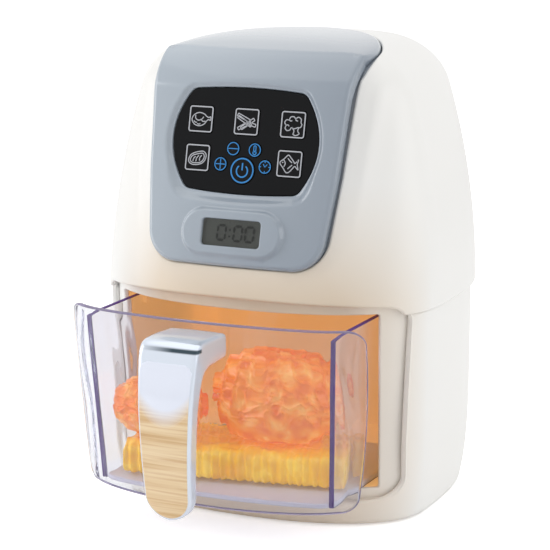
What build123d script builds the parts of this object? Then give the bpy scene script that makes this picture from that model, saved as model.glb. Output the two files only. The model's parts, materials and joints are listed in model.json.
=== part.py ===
from build123d import *
import os
from math import atan, cos, degrees, hypot, pi, radians, sin, sqrt

# Toy air fryer with a clear pull-out drawer.
# Millimetres. +X is the object's right seen from the front, the front faces -Y, +Z is up.
# The origin is the centre of the resting face. The drawer is shown part way out.

# Casing, outside
PART_Z = 93.85          # parting line between the two casings
TOP_Z = 204.9           # rim of the domed top
DOME = 1.0              # rise of the dome above that rim
WIDEST_Y = -20.6        # where the plan outline is widest
HALF_W = 78.0           # at the parting line
FRONT_D = 52.6          # front of the plan outline, from its widest line
BACK_D = 92.6           # back of the plan outline, from its widest line
FRONT_POWER = 2.28      # roundness of the front of the plan outline
BACK_POWER = 3.26       # squareness of its back
TAPER_W = 20.4          # how far each side draws in towards the top
TAPER_BACK = 10.7
LEAN_IN = 28.09         # how far the front leans back from LEAN_START to TOP_Z
LEAN_START = 96.85
SHOULDER_R = 20.1       # rounding between the sides and the top
LIP_STEP = 1.8          # the upper casing stands this far proud of the lower one
BASE_Z = 0.6            # lowest edge of the lower casing
BASE_W = 4.0            # how far the sides draw in towards the base
BASE_FRONT = 9.3        # how far the front draws in towards the base
BASE_R = 3.0            # rounding at the base
WALL = 2.4              # casing wall
GAP = 0.3               # clearance between neighbouring pieces
PLAN_ARCS = 12          # arcs round the plan outline

# Arched recess in the front, and the opening in it
ARCH_TOP_Z = 100.2
ARCH_TOP_W = 71.2
ARCH_BOTTOM_Z = 10.4
ARCH_BOTTOM_W = 69.0
ARCH_RISE = 3.0         # the recess's lower edge is this much higher at its corners
ARCH_SAG = 2.6          # the arch is this much lower at its top corners
ARCH_TOP_R = 7.0
ARCH_BOTTOM_R = 10.0
LAND_DEPTH = 3.2        # recess behind the lower casing's skin, at its top
LAND_WALL = 2.4
LAND_WIDER = 1.2        # the recess's floor reaches this much further out at its sides
LAND_TOP_Z = 101.6
LAND_SIDE_Y = -28.0     # the recess's walls end here at its sides
LAND_LEAN = 0.096       # slope of the recess floor and of the drawer's front
OPEN_TOP_Z = 94.5
OPEN_TOP_W = 61.4
OPEN_BOTTOM_Z = 17.0
OPEN_BOTTOM_W = 60.2

# Bay behind the opening
BAY_W = 60.0
BAY_TOP_Z = 97.6
BAY_WALL = 2.2
BAY_R = 8.0             # rounding of its rear corners
LIGHT_LENS_R = 2.6
LIGHT_Y = -54.0
LIGHT_DROP = 1.6        # the lens hangs this far below the bay's ceiling

# Drawer
DRAWER_OUT = 30.2       # how far the drawer stands out at rest
FRONT_TOP_Z = 96.0
FRONT_CORNER_DROP = 0.6
FRONT_BOTTOM_Z = 11.8
FRONT_BOTTOM_RISE = 3.6
FRONT_TOP_W = 69.5
FRONT_BOTTOM_W = 64.5
FRONT_BULGE = 1.5       # its sides bow out this much at mid height
FRONT_T = 2.4
FRONT_R = 7.0
PLAN_R = 240.0          # plan radius of the drawer's front
WING_BEND = 7.5         # how far its wings turn back
WING_BEND_LOW = 7.8     # the same at the bottom
BASKET_TOP_Z = 92.0
BASKET_TOP_W = 57.8
BASKET_BOTTOM_W = 54.6
BASKET_T = 2.2
BASKET_BACK_GAP = 2.8   # behind the basket when the drawer is in
BASKET_R = 9.0
STOP_X = 44.0
STOP_W = 8.0
STOP_UP = 3.6

# Handle
HANDLE_W = 13.6         # half width at the top
HANDLE_TIP_W = 10.6     # half width above the round end
HANDLE_TOP_Z = 92.6
HANDLE_END_Z = 17.4
HANDLE_FACE_Y = -130.4
HANDLE_T = 8.6
NECK_LOW_Z = 81.0
HANDLE_SCREW_X = 7.0
HANDLE_SCREW_Z = 87.0
INLAY_EDGE = 1.5
INLAY_T = 1.2

# Control panel
PANEL_OUT = 1.8         # stands this far proud of the skin at mid width
PANEL_T = 2.4
PANEL_BOTTOM_DROP = 91.4  # below the rim of the top, as the other drops are
PANEL_BOTTOM_W = 40.5
PANEL_LOW_SIDE = (44.3, 52.9)   # half width and drop of a point on each side
PANEL_HIGH_SIDE = (45.5, 30.9)
PANEL_CREASE_W = 47.2
PANEL_CREASE_BACK = 35.2  # behind the front of the casing at its parting line
PANEL_CREASE_DROP = 3.1
PANEL_RISE = 2.4        # its top stands this far above the rim of the casing's top
PANEL_TOP_W = 49.0      # widest half width of its top
PANEL_TOP_W_Y = -25.0
PANEL_TOP_D = 57.0      # from there to the back of its top
PANEL_TOP_POWER = 1.55  # roundness of its top seen from above
ROOF_W = 50.0           # rounding of its top seen from the front
ROOF_H = 14.0
ROOF_POWER = 3.4
PANEL_FLANGE = 3.4
PANEL_CORNER_R = 14.0

# Black touch plate, on its own tilted plane
PLATE_DROP = 39.9       # its middle
PLATE_SINK = 1.78       # behind the casing's skin line
PLATE_UPRIGHT = 1.67    # degrees that it stands steeper than the casing's front
PLATE_H = 22.7          # half height at mid width
PLATE_W = 34.3          # half width at mid height
PLATE_TOP_W = 28.6
PLATE_CORNER_V = 21.6
PLATE_R = 5.0
PLATE_T = 2.0
PLATE_LEDGE = 2.2
KEY_GAP = 0.2
KEY_TRAVEL = 0.6
KEY_PROUD = 0.3
SQUARE_KEY = 11.6
SQUARE_KEY_R = 1.3
SMALL_KEY_R = 3.0
POWER_KEY_R = 5.8
KEY_COL = 21.75
KEY_ROW_TOP = 8.3
KEY_ROW_LOW = -8.35
FLANGE_T = 0.8
FLANGE_OUT = 0.7
STEM_R = 1.6
STEM_L = 2.2
MAT_T = 1.0
DOME_R = 2.2
DOME_H = 0.9
BOARD_T = 1.6
BOARD_W = 33.0
BOARD_H = 23.0

# Timer display
LCD_DROP = 77.5
LCD_OUT = 2.14          # in front of the casing's skin line
LCD_W = 27.2
LCD_H = 11.2
LCD_R = 1.6
LENS_T = 1.2
POD_W = 47.8
POD_H = 20.8
POD_UP = 1.3
MODULE_T = 4.0

# Speaker, on the inside of the back wall
SPEAKER_Z = 142.0
SPEAKER_R = 18.0
EAR_X = 22.4            # screws of the speaker's retainer
EAR_R = 2.9
GRILLE_SLOTS = 5
GRILLE_PITCH = 4.4
GRILLE_H = 1.8

# Batteries, behind the bay
CELL_R = 7.25
CELL_L = 50.5
CELL_GAP = 1.1
CELL_COUNT = 3
CELLS_MID_Z = 47.6
CELLS_BACK_Y = 64.9
BOX_WALL = 1.6
COVER_W = 64.0
COVER_Z = (20.0, 84.0)
COVER_T = 2.0
COVER_SCREW_Z = 79.0
CONTACT_T = 0.5
SPRING_ROOM = 2.0

# Fasteners
SCREW_R = 1.45
SCREW_HEAD_R = 2.8
SCREW_HEAD_T = 1.8
THREAD_R = SCREW_R + 0.02  # hole that a screw has cut its thread in
CLEAR_R = SCREW_R + 0.25
POST_R = 4.5
POST_HOLE_R = SCREW_HEAD_R + 0.3
CASE_POSTS = ((67.0, -21.0), (-67.0, -21.0), (45.0, 55.4), (-45.0, 55.4))
CASE_POST_Z = 70.0      # lower end of the posts in the lower casing
BASE_POSTS = ((60.0, 12.0), (-60.0, 12.0), (0.0, 54.0), (0.0, -50.0))
BASE_POST_R = 3.5
BASE_POST_Z = 14.4
BASE_SCREW_L = 9.0
CASE_SCREW_L = 14.0
SHORT_SCREW_L = 6.0
COVER_SCREW_L = 7.0
HANDLE_SCREW_L = 9.0
BASE_PLATE_Z = 1.0
BASE_PLATE_T = 2.4
RIM_W = 3.0

# Play food
FRIES_W = 48.0          # half length of the slab
FRIES_D = 22.0          # half depth
FRIES_H = 16.0
FRIES_Y = -54.0
FRIES_TURN = 10.0       # degrees, its left end forward
FRIES_COUNT = 12
CHICKEN_RIGHT = ((16.5, -54.0, 54.5), (28.5, 20.0, 21.0))
CHICKEN_LEFT = ((-33.0, -71.0, 49.0), (20.0, 17.0, 14.0))
FOOD_GAP = 0.2

LENGTH = 400.0          # longer than anything that is cut

# Sizes that follow from the ones above
LEAN_FRONT = LEAN_IN / (TOP_Z - LEAN_START)
SKIN_Y = WIDEST_Y - FRONT_D
PANEL_BOTTOM_Z = TOP_Z - PANEL_BOTTOM_DROP
PANEL_CREASE_Z = TOP_Z - PANEL_CREASE_DROP
PANEL_CREASE_Y = SKIN_Y + PANEL_CREASE_BACK
PANEL_TOP_Z = TOP_Z + PANEL_RISE
PANEL_BACK_Y = PANEL_TOP_W_Y + PANEL_TOP_D
PLATE_Z = TOP_Z - PLATE_DROP
PLATE_Y = SKIN_Y + LEAN_FRONT * (PLATE_Z - LEAN_START) + PLATE_SINK
PLATE_TILT = degrees(atan(LEAN_FRONT)) - PLATE_UPRIGHT
LCD_Z = TOP_Z - LCD_DROP
LCD_Y = SKIN_Y + LEAN_FRONT * (LCD_Z - LEAN_START) - LCD_OUT
CELL_PITCH = 2 * CELL_R + CELL_GAP
CELL_Z = [CELLS_MID_Z + CELL_PITCH * (i - (CELL_COUNT - 1) / 2) for i in range(CELL_COUNT)]
CELL_Y = CELLS_BACK_Y - CELL_R
BOX_FRONT_Y = CELL_Y - CELL_R - GAP - BOX_WALL
BAY_BACK_Y = BOX_FRONT_Y - GAP - BAY_WALL
BASKET_BACK_Y = BAY_BACK_Y - DRAWER_OUT - BASKET_BACK_GAP
BOX_Z = (CELL_Z[0] - CELL_R - GAP - BOX_WALL, CELL_Z[-1] + CELL_R + GAP + BOX_WALL)
BOX_HALF_W = CELL_L / 2 + SPRING_ROOM + CONTACT_T + BOX_WALL + GAP
BOX_BACK_Y = CELL_Y + CELL_R + GAP
BOARD_SCREW_U = BOARD_W - 2.4
BOARD_SCREW_V = BOARD_H - 2.4
BOARD_SCREWS = [(u, v) for u in (-BOARD_SCREW_U, BOARD_SCREW_U) for v in (-BOARD_SCREW_V, BOARD_SCREW_V)]


def box(x0, x1, y0, y1, z0, z1):
    """Box between two corners."""
    solid = Box(x1 - x0, y1 - y0, z1 - z0)
    return Pos((x0 + x1) / 2, (y0 + y1) / 2, (z0 + z1) / 2) * solid


def tube(radius, x, y, z0, z1):
    """Upright round bar."""
    return Pos(x, y, (z0 + z1) / 2) * Cylinder(radius, z1 - z0)


def round_point(half_w, depth, power, angle):
    """Point of a superellipse: a circle's for power 2, squarer above that."""
    c, s = cos(angle), sin(angle)
    r = (abs(c) ** power + abs(s) ** power) ** (-1 / power)
    return (half_w * r * c, depth * r * s)


def plan_point(half_w, front, back, z, angle):
    """Point of the casing's plan outline: rounder in front, squarer at the back."""
    in_front = sin(angle) < 0
    depth, power = (front, FRONT_POWER) if in_front else (back, BACK_POWER)
    x, y = round_point(half_w, depth, power, angle)
    return (x, WIDEST_Y + y, z)


def plan_face(half_w, front, back, z):
    """Closed plan outline of the casing, as arcs through its points."""
    def at(i):
        return plan_point(half_w, front, back, z, pi * i / PLAN_ARCS)

    arcs = [ThreePointArc(at(2 * i), at(2 * i + 1), at(2 * i + 2)) for i in range(PLAN_ARCS)]
    return Face(Wire(arcs))


def upper_sizes(z, inset):
    """Half width, front and back of the upper casing at height z, drawn in by inset."""
    t = max(z - PART_Z, 0) / (TOP_Z - PART_Z)
    centre = TOP_Z - SHOULDER_R
    reach = SHOULDER_R - inset
    draw = inset
    if z > centre:
        rise = min(z - centre, reach)
        draw = SHOULDER_R - sqrt(max(reach**2 - rise**2, 0))
    lean = LEAN_FRONT * max(z - LEAN_START, 0)
    return (HALF_W - TAPER_W * t**2 - draw, FRONT_D - lean - draw, BACK_D - TAPER_BACK * t**2 - draw)


def upper_body(inset, z0=PART_Z):
    """Solid body of the upper casing, drawn in by inset, from z0 up to its dome."""
    centre = TOP_Z - SHOULDER_R
    reach = SHOULDER_R - inset
    heights = [z0 + (centre - 6 - z0) * i / 5 for i in range(6)]
    heights += [centre + reach * sin(radians(a)) for a in (8, 25, 42, 58, 72, 84)]
    faces = [plan_face(*upper_sizes(z, inset), z) for z in heights]
    rim = centre + reach
    for share, draw in ((0.7, 6.0), (1.0, 20.0)):
        sizes = [size - draw for size in upper_sizes(rim, inset)]
        sizes[1] = max(sizes[1], 3.0)
        faces.append(plan_face(*sizes, rim + DOME * share))
    return loft(faces, ruled=True)


def lower_sizes(z, inset):
    """Half width, front and back of the lower casing at height z, drawn in by inset."""
    t = max(PART_Z - z, 0) / PART_Z
    draw = inset
    if z < BASE_R:
        draw += BASE_R - sqrt(max(BASE_R**2 - (BASE_R - z) ** 2, 0))
    grow = t**5.7
    return (
        HALF_W - LIP_STEP - BASE_W * grow - draw,
        FRONT_D - LIP_STEP - BASE_FRONT * grow - draw,
        BACK_D - LIP_STEP - BASE_W * grow - draw,
    )


def lower_body(inset, z0=BASE_Z, z1=PART_Z):
    """Solid body of the lower casing, drawn in by inset, between two heights."""
    steps = [z for z in (1.6, 3.2, 8, 16, 28, 45, 70) if z0 + 0.5 < z < z1 - 0.5]
    heights = [z0] + steps + [z1]
    return loft([plan_face(*lower_sizes(z, inset), z) for z in heights], ruled=True)


def arch_face(grow=0.0):
    """Outline of the arched recess, standing in the XZ plane, grown by grow."""
    low, top = ARCH_BOTTOM_Z - grow, ARCH_TOP_Z + grow
    side = ((ARCH_BOTTOM_W + grow, low + ARCH_RISE), (ARCH_TOP_W + grow, top - ARCH_SAG))
    right = FilletPolyline(
        (0, low), side[0], side[1], (0, top), radius=[ARCH_BOTTOM_R, ARCH_TOP_R]
    )
    left = mirror(right, about=Plane.YZ)
    return Plane.XZ * make_face(right + left)


def front_cut(face, y_end=0.0):
    """Cutter that runs forward from y_end with the given XZ outline."""
    return extrude(Pos(0, y_end, 0) * face, LENGTH / 2, dir=(0, -1, 0))


def land_body(inset):
    """Everything behind the floor of the arched recess, drawn in by inset."""
    low, top = 5.0, LAND_TOP_Z + 6
    faces = []
    for z in (low, top):
        lean = LAND_LEAN * (PART_Z - z)
        faces.append(
            plan_face(
                HALF_W - LIP_STEP - LAND_DEPTH - inset + LAND_WIDER,
                FRONT_D - LIP_STEP - LAND_DEPTH - lean - inset,
                BACK_D,
                z,
            )
        )
    return loft(faces, ruled=True)


def opening_face():
    """Outline of the drawer's opening in the XZ plane."""
    points = (
        (-OPEN_BOTTOM_W, OPEN_BOTTOM_Z),
        (OPEN_BOTTOM_W, OPEN_BOTTOM_Z),
        (OPEN_TOP_W, OPEN_TOP_Z),
        (-OPEN_TOP_W, OPEN_TOP_Z),
    )
    return Plane.XZ * make_face(Polyline(*points, close=True))


def cover_face(grow=0.0):
    """Outline of the battery cover in the XZ plane."""
    z0, z1 = COVER_Z
    outline = RectangleRounded(COVER_W + 2 * grow, z1 - z0 + 2 * grow, 4)
    return Plane.XZ * Pos(0, (z0 + z1) / 2) * outline


def back_cut(face, y_start=30.0):
    """Cutter that runs backward from y_start with the given XZ outline."""
    return extrude(Pos(0, y_start, 0) * face, LENGTH / 2, dir=(0, 1, 0))


def post_web(x, y, z0, z1):
    """Rib from a post outward, long enough to be cut off at any outer wall."""
    reach = LENGTH / 4
    if x and y < 40:
        outer = x + (reach if x > 0 else -reach)
        return box(min(x, outer), max(x, outer), y - 1, y + 1, z0, z1)
    outer = y + (reach if y > 0 else -reach)
    return box(x - 1, x + 1, min(y, outer), max(y, outer), z0, z1)


def make_lower_casing():
    skin = lower_body(0) - lower_body(WALL, BASE_Z - 0.1, PART_Z + 0.1)
    tongue_z = PART_Z + 3.2
    outer = WALL + GAP + 0.1 - LIP_STEP
    tongue = lower_body(outer, PART_Z - 5, tongue_z) - lower_body(outer + 1.2, PART_Z - 6, tongue_z + 1)
    shell = skin + tongue - front_cut(arch_face())
    frame = front_cut(arch_face(LAND_WALL)) - front_cut(arch_face())
    below = box(-90, 90, -90, LAND_SIDE_Y, BASE_Z + 2, PART_Z)
    step = (lower_body(WALL / 4) - land_body(LAND_WALL)) & frame & below
    land = (land_body(0) - land_body(LAND_WALL)) & front_cut(arch_face(LAND_WALL), -10)
    land &= box(-90, 90, -90, LAND_SIDE_Y, 0, LAND_TOP_Z)
    shell = shell + step + land - front_cut(opening_face(), -10)
    inside = lower_body(WALL / 2, BASE_Z, PART_Z)
    for x, y in CASE_POSTS:
        post = tube(POST_R, x, y, CASE_POST_Z, PART_Z - 4)
        shell += (post + post_web(x, y, CASE_POST_Z - 10, PART_Z - 4)) & inside
    for x, y in BASE_POSTS:
        post = tube(BASE_POST_R, x, y, BASE_PLATE_Z + BASE_PLATE_T, BASE_POST_Z)
        web = post_web(x, y, BASE_PLATE_Z + BASE_PLATE_T + 3, BASE_POST_Z)
        shell += (post + web) & inside & land_body(LAND_WALL / 2)
    for x, y in CASE_POSTS:
        shell -= tube(POST_HOLE_R, x, y, CASE_POST_Z - 12, PART_Z - 8)
        shell -= tube(CLEAR_R, x, y, CASE_POST_Z, PART_Z)
    for x, y in BASE_POSTS:
        shell -= tube(THREAD_R, x, y, 0, BASE_POST_Z - 1.4)
    return shell - back_cut(cover_face(GAP), 60)


def make_base_plate():
    low, top = BASE_PLATE_Z, BASE_PLATE_Z + BASE_PLATE_T
    inset = WALL + GAP
    outline = plan_face(*lower_sizes(low, inset), low)
    plate = extrude(outline, BASE_PLATE_T, dir=(0, 0, 1))
    rim = extrude(plan_face(*lower_sizes(low, inset + 1), 0), low + 0.2, dir=(0, 0, 1))
    rim -= extrude(plan_face(*lower_sizes(low, inset + 1 + RIM_W), 0), low + 1, dir=(0, 0, 1))
    plate += rim
    for x, y in BASE_POSTS:
        plate -= tube(CLEAR_R, x, y, -1, top + 1)
        plate -= tube(SCREW_HEAD_R + 0.4, x, y, -1, low + 0.8)
    return plate


def screw(length):
    """Pan-head screw pointing up from the origin, its head below."""
    head = Pos(0, 0, -SCREW_HEAD_T / 2) * Cylinder(SCREW_HEAD_R, SCREW_HEAD_T)
    slot = Pos(0, 0, -SCREW_HEAD_T) * (Box(3.2, 0.8, 1.6) + Box(0.8, 3.2, 1.6))
    shank = Pos(0, 0, length / 2) * Cylinder(SCREW_R, length)
    return head - slot + shank


def screw_hole(length):
    """Hole that a screw of the given length has cut its thread in."""
    return Pos(0, 0, length / 2 + 0.1) * Cylinder(THREAD_R, length + 0.4)


def make_base_screws():
    seat = BASE_PLATE_Z + 0.8
    return Compound([Pos(x, y, seat) * screw(BASE_SCREW_L) for x, y in BASE_POSTS])


def make_case_screws():
    return Compound([Pos(x, y, PART_Z - 8) * screw(CASE_SCREW_L) for x, y in CASE_POSTS])


def bay_block(grow, z0, z1):
    """Upright block with the bay's plan outline: open in front, round corners at the back."""
    w, back = BAY_W + grow, BAY_BACK_Y + grow
    walls = FilletPolyline((-w, -91), (-w, back), (w, back), (w, -91), radius=BAY_R - BAY_WALL + grow)
    outline = make_face(walls + Line((w, -91), (-w, -91)))
    return extrude(Pos(0, 0, z0) * outline, z1 - z0, dir=(0, 0, 1))


def make_bay():
    """Five-walled bay, open in front, that the drawer slides in."""
    outer = bay_block(BAY_WALL, OPEN_BOTTOM_Z - BAY_WALL, BAY_TOP_Z + BAY_WALL)
    bay = (outer - bay_block(0, OPEN_BOTTOM_Z, BAY_TOP_Z)) & land_body(LAND_WALL + 0.2)
    return bay - tube(LIGHT_LENS_R + 0.1, 0, LIGHT_Y, BAY_TOP_Z - 1, BAY_TOP_Z + BAY_WALL + 1)


def make_light_lens():
    top = BAY_TOP_Z + BAY_WALL
    body = tube(LIGHT_LENS_R, 0, LIGHT_Y, BAY_TOP_Z - LIGHT_DROP, top)
    return body + tube(LIGHT_LENS_R + 2, 0, LIGHT_Y, top, top + 1)


def make_light_board():
    low = BAY_TOP_Z + BAY_WALL
    z = low + 3.2
    board = box(-9, 9, LIGHT_Y - 5, LIGHT_Y + 13, z, z + 1.6)
    board += box(-1.6, 1.6, LIGHT_Y - 1.6, LIGHT_Y + 1.6, z - 1.6, z)
    for x in (-6.5, 6.5):
        board += box(x - 1.5, x + 1.5, LIGHT_Y + 9, LIGHT_Y + 12, low, z)
    return board


def make_rails():
    """Guide strips on the bay's side walls, beside and over the basket's rims."""
    rails = []
    end = BAY_BACK_Y - BAY_R
    for side in (-1, 1):
        x0, x1 = sorted((side * (BASKET_TOP_W - 4), side * (BAY_W - 0.05)))
        top = box(x0, x1, -38, end, BASKET_TOP_Z + GAP, BASKET_TOP_Z + 2.1)
        s0, s1 = sorted((side * (BASKET_TOP_W + GAP), side * (BAY_W - 0.05)))
        beside = box(s0, s1, -38, end, BASKET_TOP_Z - 6, BASKET_TOP_Z + 1)
        rails.append(top + beside)
    return Compound(rails)


def panel_outline(inset=0.0):
    """Control panel's outline seen from the front, in the XZ plane."""
    low = PANEL_BOTTOM_Z + inset
    right = FilletPolyline(
        (0, low),
        (PANEL_BOTTOM_W - inset, low),
        (PANEL_LOW_SIDE[0] - inset, TOP_Z - PANEL_LOW_SIDE[1]),
        (PANEL_HIGH_SIDE[0] - inset, TOP_Z - PANEL_HIGH_SIDE[1]),
        (PANEL_CREASE_W - inset, PANEL_CREASE_Z),
        (PANEL_CREASE_W - inset, PANEL_TOP_Z + 12),
        (0, PANEL_TOP_Z + 12),
        radius=[PANEL_CORNER_R - inset, 60, 60, 30, 1],
    )
    left = mirror(right, about=Plane.YZ)
    return Plane.XZ * make_face(right + left)


def panel_top_outline(inset=0.0):
    """Control panel's outline seen from above: a rounded D behind the crease."""
    start = (PANEL_CREASE_W - inset, PANEL_CREASE_Y - 0.02)
    points = []
    for i in range(13):
        x, y = round_point(PANEL_TOP_W - inset, PANEL_TOP_D - inset, PANEL_TOP_POWER, pi * i / 24)
        points.append((x, PANEL_TOP_W_Y + y))
    side = Spline(start, *points, tangents=((0.2, 1), (-1, 0)))
    other = mirror(side, about=Plane.YZ)
    front = Line(start, (-start[0], start[1]))
    return make_face(side + other + front)


def panel_prism(inset=0.0):
    """Everything inside the panel's outline, in front and on top."""
    front = extrude(
        Pos(0, PANEL_CREASE_Y, 0) * panel_outline(inset), LENGTH / 2, dir=(0, -1, 0)
    )
    top = extrude(Pos(0, 0, TOP_Z - 55) * panel_top_outline(inset), 80, dir=(0, 0, 1))
    return front + top


def under_roof(inset):
    """Everything under the panel's top, which rounds down at its sides."""
    base = PANEL_TOP_Z - ROOF_H
    arch = [round_point(ROOF_W - inset, ROOF_H - inset, ROOF_POWER, pi * i / 16) for i in range(17)]
    roof = Spline(*[(x, base + z) for x, z in arch])
    w = ROOF_W - inset
    rest = Polyline(roof @ 1, (-w, 60), (w, 60), roof @ 0)
    face = Plane.XZ * make_face(roof + rest)
    return front_cut(face, 80)


def panel_block(inset=0.0):
    """Bulk of the control panel in front of its own surface: nearly flat across."""
    faces = []
    low, round_z, steep_z = PANEL_BOTTOM_Z - 13.5, TOP_Z - 20.9, TOP_Z - 3.2
    heights = [low + (round_z - low) * i / 5 for i in range(6)]
    heights += [TOP_Z - 13.9, TOP_Z - 7.9, TOP_Z - 3.9, TOP_Z - 0.4, TOP_Z + 4.1]
    for z in heights:
        sizes = upper_sizes(min(z, steep_z), 0)
        out = PANEL_OUT * min(1, max(0, (TOP_Z + 1.1 - z) / 20))
        y = WIDEST_Y - sizes[1] - out + inset + max(z - steep_z, 0) * 1.6
        sag = 5.0 - 3.2 * (z - low) / (TOP_Z - low)
        edge = 54 - inset
        arc = ThreePointArc((-edge, y + sag, z), (0, y, z), (edge, y + sag, z))
        rest = Polyline((edge, y + sag, z), (edge, 60, z), (-edge, 60, z), (-edge, y + sag, z))
        faces.append(Face(Wire([arc] + list(rest.edges()))))
    bulk = loft(faces)
    roof = PANEL_TOP_Z - inset
    drop = PANEL_TOP_Z - PANEL_CREASE_Z
    ridge = ThreePointArc(
        (PANEL_CREASE_Y - 6, roof - drop - 0.9), (4, roof - 0.3), (PANEL_BACK_Y + 4, roof - 0.4)
    )
    sides = Polyline(ridge @ 1, (PANEL_BACK_Y + 4, 60), (-110, 60), (-110, roof - drop - 9), ridge @ 0)
    profile = Plane.YZ * make_face(ridge + sides)
    limit = extrude(Pos(-100, 0, 0) * profile, 200, dir=(1, 0, 0))
    return bulk & limit & under_roof(inset) & panel_prism(inset)


PLATE_PLANE = Plane(
    origin=(0, PLATE_Y, PLATE_Z),
    x_dir=(1, 0, 0),
    z_dir=(0, -cos(radians(PLATE_TILT)), sin(radians(PLATE_TILT))),
)
LCD_PLANE = Plane(
    origin=(0, LCD_Y, LCD_Z),
    x_dir=(1, 0, 0),
    z_dir=(0, -cos(radians(PLATE_TILT)), sin(radians(PLATE_TILT))),
)


def barrel(grow=0.0):
    """Outline of the black plate: arched top and bottom, bowed sides, round corners."""
    w, h = PLATE_W + grow, PLATE_H + grow
    cw, ch = PLATE_TOP_W + grow, PLATE_CORNER_V + grow
    top = ThreePointArc((-cw, ch), (0, h), (cw, ch))
    right = ThreePointArc((cw, ch), (w, 0), (cw, -ch))
    bottom = ThreePointArc((cw, -ch), (0, -h), (-cw, -ch))
    left = ThreePointArc((-cw, -ch), (-w, 0), (-cw, ch))
    face = make_face(top + right + bottom + left)
    return fillet(face.vertices(), PLATE_R + grow)


def on_plate(shape, depth, thick):
    """Extrude a sketch between two depths behind the plate's front plane."""
    face = PLATE_PLANE.offset(-depth - thick) * shape
    return extrude(face, thick, dir=PLATE_PLANE.z_dir)


def on_lcd(shape, depth, thick):
    """Extrude a sketch between two depths behind the display window's plane."""
    face = LCD_PLANE.offset(-depth - thick) * shape
    return extrude(face, thick, dir=LCD_PLANE.z_dir)


def key_shape(radius, grow=0.0):
    """Face of a key: a rounded square where radius is None, else a disc."""
    if radius is None:
        side = SQUARE_KEY + 2 * grow
        return RectangleRounded(side, side, SQUARE_KEY_R + grow)
    return Circle(radius + grow)


KEYS = {
    "key_roast": (-KEY_COL, KEY_ROW_TOP, None),
    "key_fries": (0.0, KEY_ROW_TOP, None),
    "key_vegetable": (KEY_COL, KEY_ROW_TOP, None),
    "key_steak": (-KEY_COL, KEY_ROW_LOW, None),
    "key_fish": (KEY_COL, KEY_ROW_LOW, None),
    "key_power": (0.0, -12.6, POWER_KEY_R),
    "key_minus": (-5.1, -3.5, SMALL_KEY_R),
    "key_temperature": (5.1, -3.5, SMALL_KEY_R),
    "key_plus": (-10.5, -10.4, SMALL_KEY_R),
    "key_timer": (10.5, -10.4, SMALL_KEY_R),
}
KEY_BACK = PLATE_T + GAP / 4
STEM_END = KEY_BACK + FLANGE_T + STEM_L
DOME_FRONT = STEM_END + KEY_TRAVEL + 0.1
MAT_FRONT = DOME_FRONT + DOME_H
BOARD_FRONT = MAT_FRONT + MAT_T


def make_key(u, v, radius):
    """One push key: a cap flush in the plate, a flange behind it and a stem."""
    at = Pos(u, v)
    cap = on_plate(at * key_shape(radius), -KEY_PROUD, KEY_PROUD + KEY_BACK)
    flange_out = FLANGE_OUT if radius is None or radius > SMALL_KEY_R else 0.45
    flange = on_plate(at * key_shape(radius, flange_out), KEY_BACK, FLANGE_T)
    stem = on_plate(at * Circle(STEM_R), KEY_BACK + FLANGE_T, STEM_L)
    return cap + flange + stem


def make_touch_plate():
    plate = on_plate(barrel(), 0, PLATE_T)
    for u, v, radius in KEYS.values():
        plate -= on_plate(Pos(u, v) * key_shape(radius, KEY_GAP), -1, PLATE_T + 2)
    return plate


def make_key_mat():
    mat = on_plate(Rectangle(2 * BOARD_W - 11, 2 * BOARD_H - 11), MAT_FRONT, MAT_T)
    for u, v, _ in KEYS.values():
        mat += on_plate(Pos(u, v) * Circle(DOME_R), DOME_FRONT, DOME_H)
    return mat


def make_main_board():
    board = on_plate(Rectangle(2 * BOARD_W, 2 * BOARD_H), BOARD_FRONT, BOARD_T)
    for u, v in BOARD_SCREWS:
        board -= on_plate(Pos(u, v) * Circle(CLEAR_R), BOARD_FRONT - 1, BOARD_T + 2)
    return board


def make_board_parts():
    back = BOARD_FRONT + BOARD_T
    chip = on_plate(Pos(-12, 4) * Rectangle(12, 9), back, 1.8)
    crystal = on_plate(Pos(6, 8) * Rectangle(8, 3.4), back, 2.6)
    socket = on_plate(Pos(12, -10) * Rectangle(11, 5), back, 5.0)
    capacitors = [on_plate(Pos(x, -8) * Circle(2.5), back, 6.0) for x in (-20, -10, 0)]
    return Compound([chip, crystal, socket] + capacitors)


def board_screw_place(u, v):
    """Place of a board screw: its head on the board's back, its shank forward."""
    plane = PLATE_PLANE.offset(-BOARD_FRONT - BOARD_T)
    return plane.location * Pos(u, v, 0)


def ear_screw_place(side):
    """Place of a speaker screw: its head in front of the retainer's ear, its shank backward."""
    return Pos(side * EAR_X, speaker_back_y() - 4.2, SPEAKER_Z) * Rot(-90, 0, 0)


def make_short_screws():
    screws = [board_screw_place(u, v) * screw(SHORT_SCREW_L) for u, v in BOARD_SCREWS]
    screws += [ear_screw_place(side) * screw(SHORT_SCREW_L) for side in (-1, 1)]
    return Compound(screws)


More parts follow.
